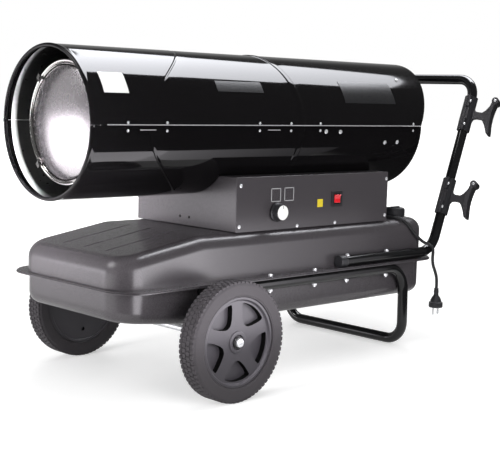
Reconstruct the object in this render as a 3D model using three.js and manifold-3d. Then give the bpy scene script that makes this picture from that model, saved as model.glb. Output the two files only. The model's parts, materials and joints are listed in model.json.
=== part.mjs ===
// Direct-fired diesel air heater on a two-wheeled trolley frame.
// Millimetres, +Z up, +X from the hot-air outlet to the push handle, +Y to the far side.
// The heater leans back on its rear legs by a small angle, so everything except the wheels
// is placed in a group that is turned about the axle.

import * as THREE from 'three';
import Module from 'manifold-3d';
import { mergeVertices } from 'three/addons/utils/BufferGeometryUtils.js';

// ---------------------------------------------------------------- driving dimensions

const gap = 0.3;                      // play between pieces that touch
const noseUp = 1.57;                  // degrees that the body leans back about the axle

const wheelRadius = 125;
const wheelWidth = 46;
const wheelCentreY = 269.6;
const rimRadius = 93;                 // where the plastic disc meets the tyre
const treadBlocks = 30;
const treadDepth = 3;
const wheelFacets = 24;
const axleRadius = 7.5;
const hubBore = 8.2;

const barrelRadius = 156.6;
const barrelSheet = 1.5;
const barrelAxisZ = 557.5;
const barrelFrontX = -274.7;
const rearRimX = 734;                 // rear edge at the height of the axis
const rearRimLean = 64;               // how far the top of the rear edge overhangs
const creaseX = -132;                 // pressed step of the nozzle, at the seam
const creaseSweep = 167;
const beadX = 304;                    // raised bead where front and rear hood meet
const beadSweep = -28;
const seamHalfGap = 0.35;

const chamberRadius = 128;
const chamberFrontX = -230;          // front face of the bright outlet ring
const chamberRearX = 250;
const dishRadius = 112;
const dishDome = 19;                  // how far the dish bulges forward of its rim

const boxFrontX = 95.5;
const boxRearX = 594.8;
const boxHalfWidth = 170;
const boxFloorZ = 329.6;
const boxTopZ = 448;
const boxSheet = 1.5;

const tankFrontX = -222;
const tankRearX = 750;
const tankHalfWidth = 182.3;
const tankCorner = 60;
const tankTopZ = 329;
const tankBottomZ = 142;
const tankSheet = 1.5;
const tankShoulder = 30;
const rampEndX = -5;                  // the front of the tank top slopes down from here
const rampSlope = 0.165;
const noseSlope = 0.12;               // and its bottom slopes up
const flangeFrontX = -235;
const flangeRearX = 758;
const flangeHalfWidth = 215.8;
const flangeCorner = 68;
const flangeTopZ = 234.1;
const flangeMidZ = 231.8;
const flangeBottomZ = 229;

const tubeRadius = 12.5;
const tubeY = 195.8;
const armZ = flangeTopZ + gap + tubeRadius;
const armFrontX = 400;
const handleFootX = 750;
const handleLean = 20.2;              // degrees from upright
const handleTopX = 910;
const sideTubeZ = flangeBottomZ - gap - tubeRadius;
const sideTubeFrontX = -22;
const legX = 636;

const hookHeights = [382, 590];       // centre heights of the two cord hooks on the upright
const hookLength = 92;
const hookTurn = 72;                  // degrees that the hooks are turned to the near side
const hookReach = 71;                 // from the upright's axis to the middle of the hook's head

const knobX = 214.5;
const knobZ = 369;
const knobRadius = 19;
const knobTravel = 18;
const rockerX = 411;
const rockerZ = 390.5;

const fillerX = 672;
const fillerY = -133;
const capRadius = 24.3;
const capHeight = 22;

const guardX = 662;
const fanX = 470;
const fanRadius = 138;

const glandY = 6;
const glandZ = 355;
const cordRadius = 3.75;
const cordPitch = 8.2;                // centre distance of neighbouring turns and layers
const coilCentre = [656, 60];
const coilMeanRadius = 40;
const coilStart = -60;                // degrees round the coil where the cord comes in
const coilEnd = 180;                  // and where it leaves, after the full turns below
const coilFullTurns = 4;

// ---------------------------------------------------------------- materials

function finish(colour, roughness, metalness) {
  return new THREE.MeshStandardMaterial({ color: colour, roughness, metalness });
}

const glossBlack = finish(0x0c0c0d, 0.16, 0.0);
const satinGrey = finish(0x3b393b, 0.42, 0.3);
const tubeBlack = finish(0x101011, 0.22, 0.1);
const stainless = finish(0xc9c5c6, 0.24, 1.0);
const bareSteel = finish(0x9a9a9c, 0.38, 1.0);
const tyreRubber = finish(0x3a383b, 0.8, 0.0);
const discPlastic = finish(0x3d3b40, 0.55, 0.0);
const blackPlastic = finish(0x17171a, 0.5, 0.0);
const zincPlate = finish(0xc4c9cf, 0.3, 1.0);
const castAlloy = finish(0xa4a6a8, 0.45, 1.0);
const redLens = finish(0xd0202a, 0.25, 0.0);
const whitePlastic = finish(0xf0f0ee, 0.4, 0.0);
const brass = finish(0xb59a55, 0.3, 1.0);
const circuitGreen = finish(0x1f5a3c, 0.5, 0.0);
const cordRubber = finish(0x111112, 0.6, 0.0);

// ---------------------------------------------------------------- solids and booleans

const wasm = await Module();
wasm.setup();

function signedVolume(position, index) {
  const a = new THREE.Vector3();
  const b = new THREE.Vector3();
  const c = new THREE.Vector3();
  let sum = 0;
  for (let i = 0; i < index.length; i += 3) {
    a.fromBufferAttribute(position, index[i]);
    b.fromBufferAttribute(position, index[i + 1]);
    c.fromBufferAttribute(position, index[i + 2]);
    sum += a.dot(b.cross(c));
  }
  return sum / 6;
}

// Merges shared corners, drops collapsed triangles and turns the faces outwards.
function closedBody(geometry) {
  const bare = geometry.clone();
  bare.deleteAttribute('normal');
  bare.deleteAttribute('uv');
  const merged = mergeVertices(bare, 1e-3);
  const source = merged.index.array;
  const index = [];
  for (let i = 0; i < source.length; i += 3) {
    const [a, b, c] = [source[i], source[i + 1], source[i + 2]];
    if (a !== b && b !== c && c !== a) index.push(a, b, c);
  }
  if (signedVolume(merged.attributes.position, index) < 0) {
    for (let i = 0; i < index.length; i += 3) {
      const first = index[i];
      index[i] = index[i + 1];
      index[i + 1] = first;
    }
  }
  merged.setIndex(index);
  return merged;
}

function toSolid(geometry) {
  const shape = closedBody(geometry);
  return new wasm.Manifold(new wasm.Mesh({
    numProp: 3,
    vertProperties: new Float32Array(shape.attributes.position.array),
    triVerts: new Uint32Array(shape.index.array),
  }));
}

function toGeometry(solid) {
  const mesh = solid.getMesh();
  const geometry = new THREE.BufferGeometry();
  geometry.setAttribute('position', new THREE.BufferAttribute(mesh.vertProperties, 3));
  geometry.setIndex(new THREE.BufferAttribute(mesh.triVerts, 1));
  return geometry;
}

function cut(geometry, ...tools) {
  return toGeometry(tools.reduce((solid, tool) => solid.subtract(toSolid(tool)), toSolid(geometry)));
}

function join(geometry, ...others) {
  return toGeometry(others.reduce((solid, other) => solid.add(toSolid(other)), toSolid(geometry)));
}

// ---------------------------------------------------------------- basic forms

function block(x0, x1, y0, y1, z0, z1) {
  const geometry = new THREE.BoxGeometry(x1 - x0, y1 - y0, z1 - z0);
  return geometry.translate((x0 + x1) / 2, (y0 + y1) / 2, (z0 + z1) / 2);
}

// Revolves points [along, radius] about a line through the origin along X, Y or Z.
function revolve(axis, profile, segments = 32) {
  const points = profile.map(([along, radius]) => new THREE.Vector2(radius, along));
  const geometry = new THREE.LatheGeometry(points, segments);
  if (axis === 'x') geometry.rotateZ(-Math.PI / 2);
  if (axis === 'z') geometry.rotateX(Math.PI / 2);
  return geometry;
}

function rod(axis, from, to, radius, segments = 16) {
  return revolve(axis, [[from, 0], [from, radius], [to, radius], [to, 0]], segments);
}

function sleeve(axis, from, to, inner, outer, segments = 24) {
  const profile = [[from, inner], [from, outer], [to, outer], [to, inner], [from, inner]];
  return revolve(axis, profile, segments);
}

// Extrudes an outline drawn in the XZ plane along Y, from y0 to y1.
function plateY(outline, y0, y1, holes = []) {
  const shape = new THREE.Shape(outline.map(([x, z]) => new THREE.Vector2(x, z)));
  for (const hole of holes) {
    shape.holes.push(new THREE.Path(hole.map(([x, z]) => new THREE.Vector2(x, z))));
  }
  const geometry = new THREE.ExtrudeGeometry(shape, { depth: y1 - y0, bevelEnabled: false });
  return geometry.rotateX(Math.PI / 2).translate(0, y1, 0);
}

// Extrudes an outline drawn in the YZ plane along X, from x0 to x1.
function plateX(outline, x0, x1) {
  const shape = new THREE.Shape(outline.map(([y, z]) => new THREE.Vector2(y, z)));
  const geometry = new THREE.ExtrudeGeometry(shape, { depth: x1 - x0, bevelEnabled: false });
  const axes = new THREE.Matrix4().makeBasis(
    new THREE.Vector3(0, 1, 0), new THREE.Vector3(0, 0, 1), new THREE.Vector3(1, 0, 0));
  return geometry.applyMatrix4(axes).translate(x0, 0, 0);
}

function arc(cx, cy, radius, from, to, steps) {
  const points = [];
  for (let i = 0; i <= steps; i += 1) {
    const angle = THREE.MathUtils.degToRad(from + (to - from) * i / steps);
    points.push([cx + radius * Math.cos(angle), cy + radius * Math.sin(angle)]);
  }
  return points;
}

// Joins equal rings of points into a closed body. The end rings are closed by cap(ring),
// which returns triangles as triples of positions in the ring.
function loft(rings, cap) {
  const count = rings[0].length;
  const position = rings.flat().flatMap((point) => point.toArray());
  const index = [];
  for (let k = 0; k + 1 < rings.length; k += 1) {
    for (let i = 0; i < count; i += 1) {
      const j = (i + 1) % count;
      const [a, b, c, d] = [k * count + i, k * count + j, (k + 1) * count + j, (k + 1) * count + i];
      index.push(a, b, c, a, c, d);
    }
  }
  const last = (rings.length - 1) * count;
  for (const [a, b, c] of cap(rings[0])) index.push(a, c, b);
  for (const [a, b, c] of cap(rings[rings.length - 1])) index.push(last + a, last + b, last + c);
  const geometry = new THREE.BufferGeometry();
  geometry.setAttribute('position', new THREE.Float32BufferAttribute(position, 3));
  geometry.setIndex(index);
  return geometry;
}

// A ring that is its own mirror image is closed by strips across it.
function mirrorCap(ring) {
  const count = ring.length;
  const triangles = [];
  for (let i = 0; i < count / 2 - 1; i += 1) {
    triangles.push([i, i + 1, count - 2 - i], [i, count - 2 - i, count - 1 - i]);
  }
  return triangles;
}

// A path whose stations are used one by one, so that bends get the steps and runs don't.
class StationCurve extends THREE.Curve {
  constructor(points) {
    super();
    this.points = points;
  }

  getPoint(u) {
    const place = Math.min(Math.max(u, 0), 1) * (this.points.length - 1);
    const low = Math.min(Math.floor(place + 1e-9), this.points.length - 2);
    return this.points[low].clone().lerp(this.points[low + 1], place - low);
  }

  getPointAt(u) {
    return this.getPoint(u);
  }

  getTangentAt(u) {
    const station = Math.round(u * (this.points.length - 1));
    const before = this.points[Math.max(station - 1, 0)];
    const here = this.points[station];
    const after = this.points[Math.min(station + 1, this.points.length - 1)];
    const incoming = here.clone().sub(before).normalize();
    const outgoing = after.clone().sub(here).normalize();
    return incoming.add(outgoing).normalize();
  }
}

function tubeAlong(points, radius, sides, turn = 0) {
  const corners = [];
  for (let i = 0; i < sides; i += 1) {
    const angle = turn + 2 * Math.PI * (i + 0.5) / sides;
    corners.push(new THREE.Vector2(radius * Math.cos(angle), radius * Math.sin(angle)));
  }
  const path = new StationCurve(points);
  return new THREE.ExtrudeGeometry(new THREE.Shape(corners), {
    steps: points.length - 1, extrudePath: path, bevelEnabled: false,
  });
}

// Rounds the corners of a bent tube's centre line.
function roundedRoute(corners, radii, steps = 4) {
  const route = [corners[0].clone()];
  for (let i = 1; i + 1 < corners.length; i += 1) {
    const back = corners[i - 1].clone().sub(corners[i]).normalize();
    const on = corners[i + 1].clone().sub(corners[i]).normalize();
    const half = back.angleTo(on) / 2;
    const reach = radii[i - 1] / Math.tan(half);
    const middle = back.clone().add(on).normalize();
    const centre = corners[i].clone().addScaledVector(middle, radii[i - 1] / Math.sin(half));
    const from = corners[i].clone().addScaledVector(back, reach).sub(centre);
    const to = corners[i].clone().addScaledVector(on, reach).sub(centre);
    const sweep = from.angleTo(to);
    for (let k = 0; k <= steps; k += 1) {
      const a = Math.sin((1 - k / steps) * sweep) / Math.sin(sweep);
      const b = Math.sin((k / steps) * sweep) / Math.sin(sweep);
      route.push(centre.clone().addScaledVector(from, a).addScaledVector(to, b));
    }
  }
  route.push(corners[corners.length - 1].clone());
  return route;
}

function smoothRoute(points, steps) {
  const vectors = points.map((point) => new THREE.Vector3(...point));
  return new THREE.CatmullRomCurve3(vectors, false, 'centripetal').getSpacedPoints(steps);
}

// ---------------------------------------------------------------- assembly groups

const heater = new THREE.Group();
const leaning = new THREE.Group();
const body = new THREE.Group();
leaning.position.set(0, 0, wheelRadius);
leaning.rotation.y = THREE.MathUtils.degToRad(noseUp);
body.position.set(0, 0, -wheelRadius);
leaning.add(body);
heater.add(leaning);

function part(name, geometry, material, group = body) {
  const mesh = new THREE.Mesh(closedBody(geometry), material);
  mesh.name = name;
  group.add(mesh);
  return mesh;
}

// Turns a point of the body into the frame of the whole heater.
function standing(x, y, z) {
  const lean = THREE.MathUtils.degToRad(noseUp);
  const rise = z - wheelRadius;
  return new THREE.Vector3(
    Math.cos(lean) * x + Math.sin(lean) * rise, y,
    wheelRadius - Math.sin(lean) * x + Math.cos(lean) * rise);
}

// ---------------------------------------------------------------- barrel shells

function shellSection(degrees) {
  const angle = THREE.MathUtils.degToRad(degrees);
  const swing = Math.sin(angle) ** 2;
  const crease = creaseX + creaseSweep * swing;
  const bead = beadX + beadSweep * swing;
  const rear = rearRimX + rearRimLean * Math.sin(angle);
  const r = barrelRadius;
  const outer = [
    [-268, 149.4], [-272.8, 150.2], [barrelFrontX, 153.8], [-272.6, 157.2], [-267.5, 158.2],
    [-261, 157], [crease - 5, 157], [crease, r - 1.8], [crease + 6, r],
    [bead - 8, r], [bead - 3, r + 1.6], [bead + 3, r + 1.6], [bead + 8, r], [rear, r],
  ];
  const inner = [
    [rear, r - barrelSheet], [bead + 8, r - barrelSheet], [bead - 8, r - barrelSheet],
    [crease + 6, r - barrelSheet], [crease, r - 1.8 - barrelSheet], [crease - 5, 155.4],
    [-261, 155.4], [-265, 151],
  ];
  return [...outer, ...inner].map(([x, radius]) => new THREE.Vector3(
    x, -radius * Math.cos(angle), barrelAxisZ + radius * Math.sin(angle)));
}

function profileCap(ring) {
  const flat = ring.map((point) => new THREE.Vector2(
    point.x, Math.hypot(point.y, point.z - barrelAxisZ)));
  const triangles = THREE.ShapeUtils.triangulateShape(flat, []);
  const sameTurn = THREE.ShapeUtils.area(flat)
    * THREE.ShapeUtils.area(triangles[0].map((i) => flat[i])) > 0;
  return sameTurn ? triangles : triangles.map(([a, b, c]) => [a, c, b]);
}

function barrelShell(fromDegrees, toDegrees) {
  const steps = 16;
  const rings = [];
  for (let i = 0; i <= steps; i += 1) {
    rings.push(shellSection(fromDegrees + (toDegrees - fromDegrees) * i / steps));
  }
  return loft(rings, profileCap);
}

const seamAngle = THREE.MathUtils.radToDeg(seamHalfGap / barrelRadius);
part('upper_shell', barrelShell(seamAngle, 180 - seamAngle), glossBlack);
part('lower_shell', barrelShell(180 + seamAngle, 360 - seamAngle), glossBlack);

// ---------------------------------------------------------------- combustion chamber

function onBarrelAxis(geometry) {
  return geometry.translate(0, 0, barrelAxisZ);
}

function combustionChamber() {
  const r = chamberRadius;
  return onBarrelAxis(revolve('x', [
    [chamberFrontX + 14, r - 1.5], [chamberFrontX + 14, r], [chamberRearX - 30, r],
    [chamberRearX, r - 26], [chamberRearX, r - 28], [chamberRearX - 31, r - 1.5],
    [chamberFrontX + 14, r - 1.5],
  ], 24));
}

// The bright front ring, folded inwards, with four tabs that carry the dish.
function outletRing() {
  const r = chamberRadius;
  let ring = revolve('x', [
    [chamberFrontX + 13.7, r - 1.5], [chamberFrontX + 13.7, r], [chamberFrontX + 3, r + 1],
    [chamberFrontX, r - 1.5], [chamberFrontX + 1, r - 9], [chamberFrontX + 4, r - 10],
    [chamberFrontX + 4, r - 3.5], [chamberFrontX + 13.7, r - 1.5],
  ], 24);
  for (const degrees of [45, 135, 225, 315]) {
    const tab = block(chamberFrontX - 2, chamberFrontX + 3, -7, 7, dishRadius + 4.2, r + 6);
    ring = join(ring, tab.rotateX(THREE.MathUtils.degToRad(degrees)));
  }
  return onBarrelAxis(ring);
}

function deflectorDish() {
  const profile = [];
  const rings = 4;
  for (let i = 0; i <= rings; i += 1) {
    const r = dishRadius * i / rings;
    profile.push([chamberFrontX + 1 - dishDome * (1 - (i / rings) ** 2), r]);
  }
  const rimX = profile[rings][0];
  profile.push([rimX + 2, dishRadius + 3.6], [rimX + 4, dishRadius + 3.6], [rimX + 4, dishRadius - 2]);
  for (let i = rings - 1; i >= 0; i -= 1) profile.push([profile[i][0] + 2.2, profile[i][1]]);
  return onBarrelAxis(revolve('x', profile, 24));
}

function chamberBackPlate() {
  const plate = sleeve('x', chamberRearX + gap, chamberRearX + 2.3, 46.8, chamberRadius - 14, 20);
  const slots = [];
  for (let i = 0; i < 6; i += 1) {
    const slot = block(chamberRearX - 5, chamberRearX + 8, -4, 4, 62, 98);
    slots.push(slot.rotateX(i * Math.PI / 3));
  }
  return onBarrelAxis(cut(plate, ...slots));
}

function burnerHead() {
  return onBarrelAxis(revolve('x', [
    [chamberRearX - 26, 30], [chamberRearX - 26, 45.5], [chamberRearX + 78, 45.5],
    [chamberRearX + 78, 44], [chamberRearX - 24, 44], [chamberRearX - 24, 30],
    [chamberRearX - 26, 30],
  ], 16));
}

function fuelNozzle() {
  return onBarrelAxis(revolve('x', [
    [chamberRearX - 16, 0], [chamberRearX - 14, 5], [chamberRearX + 2, 9],
    [chamberRearX + 30, 9], [chamberRearX + 30, 6], [chamberRearX + 56, 6],
    [chamberRearX + 56, 0],
  ], 12));
}

function ignitionElectrodes() {
  const carrier = block(chamberRearX + 14, chamberRearX + 22, -14, 14, 13, 26);
  const rods = [-9, 9].map((y) => rod('x', chamberRearX - 18, chamberRearX + 48, 3.2, 8)
    .translate(0, y, 19));
  return onBarrelAxis(join(carrier, ...rods));
}

function photocell() {
  const housing = rod('x', chamberRearX + 34, chamberRearX + 66, 7, 12);
  const tail = rod('x', chamberRearX + 65, chamberRearX + 76, 4, 10);
  return onBarrelAxis(join(housing, tail).translate(0, 0, -26));
}

part('combustion_chamber', combustionChamber(), stainless);
part('outlet_ring', outletRing(), stainless);
part('deflector_dish', deflectorDish(), stainless);
part('chamber_back_plate', chamberBackPlate(), stainless);
part('burner_head', burnerHead(), bareSteel);
part('fuel_nozzle', fuelNozzle(), brass);
part('ignition_electrodes', ignitionElectrodes(), whitePlastic);
part('photocell', photocell(), blackPlastic);

// ---------------------------------------------------------------- fan, motor and air pump

function fanWheel() {
  let fan = revolve('x', [
    [-14, axleRadius - 1], [-14, 24], [-10, 30], [16, 30], [16, axleRadius - 1],
    [-14, axleRadius - 1],
  ], 14);
  const bladeCount = 5;
  for (let i = 0; i < bladeCount; i += 1) {
    const rings = [];
    for (let k = 0; k <= 3; k += 1) {
      const r = 26 + (fanRadius - 27) * k / 3;
      const twist = THREE.MathUtils.degToRad(48 - 22 * k / 3);
      const half = 27 + 15 * Math.sin(Math.PI * k / 4);
      const along = new THREE.Vector3(Math.sin(twist), Math.cos(twist), 0);
      const across = new THREE.Vector3(Math.cos(twist), -Math.sin(twist), 0);
      const corner = (a, b) => new THREE.Vector3(0, 0, r)
        .addScaledVector(along, a).addScaledVector(across, b);
      rings.push([
        corner(-half, 3), corner(0, -2.4), corner(half, 3),
        corner(half, 4.6), corner(0, -0.6), corner(-half, 4.6),
      ]);
    }
    const blade = loft(rings, (ring) => [[0, 1, 4], [0, 4, 5], [1, 2, 3], [1, 3, 4]]);
    fan = join(fan, blade.rotateX(2 * Math.PI * i / bladeCount));
  }
  return onBarrelAxis(fan.translate(fanX, 0, 0));
}

function motorBody() {
  const can = revolve('x', [
    [506, 0], [506, 34], [510, 52], [590, 52], [594, 34], [594, 0],
  ], 20);
  const bore = rod('x', 500, 560, axleRadius - 0.6, 16);
  const feet = block(522, 578, -34, 34, -62, -44);
  return onBarrelAxis(cut(join(can, feet), bore));
}

function motorBracket() {
  const outer = arc(0, 0, barrelRadius - barrelSheet - gap - 0.6, 235, 305, 8);
  const outline = [...outer, [52, -75], [52, -62 - gap], [-52, -62 - gap], [-52, -75]];
  const bracket = plateX(outline, 524, 576);
  const window = plateX([[-40, -88], [40, -88], [40, -136], [-40, -136]], 500, 600);
  const flute = block(530, 570, -200, 200, -132, -70);
  return onBarrelAxis(cut(bracket, window, flute));
}

function airPump() {
  const housing = revolve('x', [
    [594 + gap, 0], [594 + gap, 44], [598, 47], [622, 47], [626, 42], [626, 0],
  ], 18);
  const port = rod('z', 40, 62, 6, 10).translate(610, 0, 0);
  return onBarrelAxis(join(housing, port));
}

function airFilterCover() {
  return onBarrelAxis(revolve('x', [
    [626 + gap, 0], [626 + gap, 40], [640, 40], [645, 34], [645, 0],
  ], 16));
}

part('motor_shaft', onBarrelAxis(rod('x', 440, 558, axleRadius - 1.3, 16)), bareSteel);
part('fan', fanWheel(), castAlloy);
part('motor', motorBody(), castAlloy);
part('motor_bracket', motorBracket(), bareSteel);
part('air_pump', airPump(), castAlloy);
part('air_filter_cover', airFilterCover(), blackPlastic);

function rearGuard() {
  const wire = 2.2;
  const ring = (r) => revolve('x', [
    [-wire, r], [0, r + wire], [wire, r], [0, r - wire], [-wire, r],
  ], 16);
  let guard = rod('x', -wire, wire, 24, 12);
  for (const r of [58, 104, 151.5]) guard = join(guard, ring(r));
  for (let i = 0; i < 6; i += 1) {
    const spoke = block(-wire - 1, wire - 1, -wire, wire, 20, 151.5);
    guard = join(guard, spoke.rotateX(i * Math.PI / 3 + Math.PI / 6));
  }
  return onBarrelAxis(guard.translate(guardX, 0, 0));
}

part('rear_guard', rearGuard(), tubeBlack);

// ---------------------------------------------------------------- control box

function barrelClearance(radius) {
  return onBarrelAxis(rod('x', boxFrontX - 50, boxRearX + 50, radius, 48));
}

function controlBox() {
  const inset = boxSheet + gap;
  const outside = block(boxFrontX, boxRearX, -boxHalfWidth + inset, boxHalfWidth, boxFloorZ, boxTopZ);
  const inside = block(boxFrontX + boxSheet, boxRearX - boxSheet, -boxHalfWidth + inset + boxSheet,
    boxHalfWidth - boxSheet, boxFloorZ + boxSheet, boxTopZ - boxSheet);
  const doorway = block(boxFrontX + 14, boxRearX - 14, -boxHalfWidth - 5, -boxHalfWidth + 8,
    boxFloorZ + 14, boxTopZ - 12);
  const wireHoles = [16, -15].map((y) => rod('x', boxFrontX - 5, boxFrontX + 5, 3, 10)
    .translate(0, y, 349));
  const glandHole = rod('x', boxRearX - 8, boxRearX + 8, 8.2, 12).translate(0, glandY, glandZ);
  return cut(outside, inside, doorway, barrelClearance(barrelRadius + 2.3), ...wireHoles, glandHole);
}

function controlPanel() {
  const plate = block(boxFrontX, boxRearX, -boxHalfWidth, -boxHalfWidth + boxSheet,
    boxFloorZ, boxTopZ);
  const knobHole = rod('y', -boxHalfWidth - 5, -boxHalfWidth + 5, 6.3, 16)
    .translate(knobX, 0, knobZ);
  const switchHole = block(rockerX - 12.8, rockerX + 12.8, -boxHalfWidth - 5, -boxHalfWidth + 5,
    rockerZ - 13.3, rockerZ + 13.3);
  return cut(plate, knobHole, switchHole);
}

part('control_box', controlBox(), satinGrey);
part('control_panel', controlPanel(), satinGrey);

// Thermostat: a body behind the panel and a knob with finger flutes in front of it.
const panelBackY = -boxHalfWidth + boxSheet;

function thermostatBody() {
  const can = block(knobX - 22, knobX + 22, panelBackY + gap, panelBackY + 30,
    knobZ - 20, knobZ + 20);
  const bush = rod('y', -boxHalfWidth - 3, panelBackY + 2, 5.9, 16).translate(knobX, 0, knobZ);
  return join(can, bush);
}

function thermostatKnob() {
  const front = -boxHalfWidth - 3.6 - knobTravel;
  const knob = revolve('y', [
    [-boxHalfWidth - 3.6, 0], [-boxHalfWidth - 3.6, knobRadius + 2.2],
    [-boxHalfWidth - 6.6, knobRadius + 2.2], [-boxHalfWidth - 8, knobRadius],
    [front + 1.2, knobRadius - 1], [front, knobRadius - 2.2], [front, 0],
  ], 20).translate(knobX, 0, knobZ);
  const flutes = [];
  for (let i = 0; i < 10; i += 1) {
    const angle = 2 * Math.PI * (i + 0.5) / 10;
    flutes.push(rod('y', front - 2, -boxHalfWidth - 9, 2.4, 4).translate(
      knobX + (knobRadius + 0.9) * Math.cos(angle), 0, knobZ + (knobRadius + 0.9) * Math.sin(angle)));
  }
  return cut(knob, ...flutes);
}

part('thermostat_body', thermostatBody(), blackPlastic);
part('thermostat_knob', thermostatKnob(), blackPlastic);

// Switch: a bezel clipped in the panel with a lit rocker that tilts in it.
function switchBody() {
  const flange = block(rockerX - 15.5, rockerX + 15.5, -boxHalfWidth - 2.6, -boxHalfWidth - gap,
    rockerZ - 16, rockerZ + 16);
  const can = block(rockerX - 12.4, rockerX + 12.4, -boxHalfWidth - 1, panelBackY + 26,
    rockerZ - 12.9, rockerZ + 12.9);
  const well = block(rockerX - 10.6, rockerX + 10.6, -boxHalfWidth - 10, -boxHalfWidth + 10,
    rockerZ - 11.6, rockerZ + 11.6);
  return cut(join(flange, can), well);
}

function switchRocker() {
  const outline = [
    [-9.4, 1.8], [-9.6, -1.2], [-8.2, -3.4], [0, -1.6], [8.4, -6.6], [9.6, -4.8], [9.4, 1.8],
    [5, 6.5], [-5, 6.5],
  ];
  const shape = new THREE.Shape(outline.map(([z, y]) => new THREE.Vector2(y, z)));
  const rocker = new THREE.ExtrudeGeometry(shape, { depth: 20, bevelEnabled: false });
  const axes = new THREE.Matrix4().makeBasis(
    new THREE.Vector3(0, 1, 0), new THREE.Vector3(0, 0, 1), new THREE.Vector3(1, 0, 0));
  return rocker.applyMatrix4(axes).translate(rockerX - 10, -boxHalfWidth, rockerZ);
}

part('switch_body', switchBody(), blackPlastic);
part('switch_rocker', switchRocker(), redLens);

function ignitionTransformer() {
  const core = block(300, 372, 60, 128, boxFloorZ + 3, boxFloorZ + 62);
  const towers = [316, 356].map((x) => rod('z', boxFloorZ + 60, boxFloorZ + 80, 8, 12)
    .translate(x, 94, 0));
  return join(core, ...towers);
}

function controlBoard() {
  const board = block(440, 540, -40, 40, boxFloorZ + 8, boxFloorZ + 10);
  const relay = block(452, 480, -30, -6, boxFloorZ + 9.9, boxFloorZ + 28);
  const capacitor = block(500, 530, 0, 26, boxFloorZ + 9.9, boxFloorZ + 22);
  const feet = [446, 534].map((x) => block(x - 3, x + 3, -36, 36, boxFloorZ + 1.5 + gap,
    boxFloorZ + 8.1));
  return join(board, relay, capacitor, ...feet);
}

function cableGland() {
  const bush = revolve('x', [
    [boxRearX - 6, 4.2], [boxRearX - 6, 7.9], [boxRearX + gap, 7.9], [boxRearX + gap, 12],
    [boxRearX + 7, 12], [boxRearX + 9, 8.5], [boxRearX + 26, 5.6], [boxRearX + 26, 4.2],
    [boxRearX - 6, 4.2],
  ], 12);
  return bush.translate(0, glandY, glandZ);
}

part('ignition_transformer', ignitionTransformer(), blackPlastic);
part('control_board', controlBoard(), circuitGreen);
part('cable_gland', cableGland(), blackPlastic);

// ---------------------------------------------------------------- fuel tank

function tankTopAt(x) {
  return tankTopZ - rampSlope * Math.max(0, rampEndX - x);
}

function tankBottomAt(x) {
  return tankBottomZ + noseSlope * Math.max(0, rampEndX - x);
}

// One ring of the tank in plan, mirrored about y = 0, with a point where the ramp ends.
function planRing(frontX, rearX, halfWidth, corner, heightAt) {
  const side = [
    ...arc(frontX + corner, halfWidth - corner, corner, 180, 90, 4),
    [rampEndX, halfWidth],
    ...arc(rearX - corner, halfWidth - corner, corner, 90, 0, 4),
  ];
  const all = [...side, ...side.map(([x, y]) => [x, -y]).reverse()];
  return all.map(([x, y]) => new THREE.Vector3(x, y, heightAt(x)));
}

function tankRing(inset, heightAt, extra = 0) {
  return planRing(tankFrontX + inset, tankRearX - inset, tankHalfWidth - inset + extra,
    Math.max(tankCorner - inset, 12), heightAt);
}

function flangeRing(inset, z) {
  return planRing(flangeFrontX + inset, flangeRearX - inset, flangeHalfWidth - inset,
    flangeCorner - inset, () => z);
}

function tankUpper() {
  const under = tankSheet;
  const shoulderRings = (drop, grow) => [90, 60, 30, 0].map((degrees) => {
    const angle = THREE.MathUtils.degToRad(degrees);
    const inset = 3 + drop + (tankShoulder) * (1 - Math.sin(angle));
    return tankRing(inset + grow, (x) => tankTopAt(x) - drop - tankShoulder * (1 - Math.cos(angle)));
  });
  const outer = shoulderRings(0, 0);
  const inner = shoulderRings(under, 0).reverse();
  return loft([
    ...inner,
    tankRing(under, () => flangeMidZ + gap / 2),
    flangeRing(0.8, flangeMidZ + gap / 2),
    flangeRing(0, flangeTopZ - 1),
    flangeRing(1, flangeTopZ),
    tankRing(-1.5, () => flangeTopZ),
    tankRing(0, () => flangeTopZ + 3),
    ...outer,
  ], mirrorCap);
}

function tankLower() {
  const shoulder = 22;
  const bottomRings = (drop) => [90, 45, 0].map((degrees) => {
    const angle = THREE.MathUtils.degToRad(degrees);
    const inset = 5 + drop + shoulder * (1 - Math.sin(angle));
    return tankRing(inset, (x) => tankBottomAt(x) + drop + shoulder * (1 - Math.cos(angle)));
  });
  return loft([
    ...bottomRings(tankSheet).reverse(),
    tankRing(1.5 + tankSheet, () => flangeMidZ - gap / 2),
    flangeRing(0.8, flangeMidZ - gap / 2),
    flangeRing(0, flangeMidZ - 1.4),
    flangeRing(1, flangeBottomZ),
    tankRing(1.5, () => flangeBottomZ),
    ...bottomRings(0),
  ], mirrorCap);
}

// Three shallow pressed grooves run up the sloping front of the tank top.
function grooveTools() {
  const slope = Math.atan(rampSlope);
  return [-75, 0, 75].map((y) => {
    const groove = rod('x', -88, 92, 3, 6);
    return groove.rotateY(-slope).translate(-88, y, tankTopAt(-88) + 2.2);
  });
}

const fillerHole = rod('z', tankTopZ - 40, tankTopZ + 10, 19.5, 20).translate(fillerX, fillerY, 0);
part('tank_upper_shell', cut(tankUpper(), ...grooveTools(), fillerHole), satinGrey);
const drainHole = rod('z', tankBottomZ - 5, tankBottomZ + 5, 7.4, 14).translate(330, 0, 0);
part('tank_lower_shell', cut(tankLower(), drainHole), satinGrey);

function fillerNeck() {
  return revolve('z', [
    [tankTopZ - 16, 17.6], [tankTopZ - 16, 19.1], [tankTopZ + gap, 19.1], [tankTopZ + gap, 21.2],
    [tankTopZ + 11, 21.2], [tankTopZ + 11, 17.6], [tankTopZ - 16, 17.6],
  ], 16).translate(fillerX, fillerY, 0);
}

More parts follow.
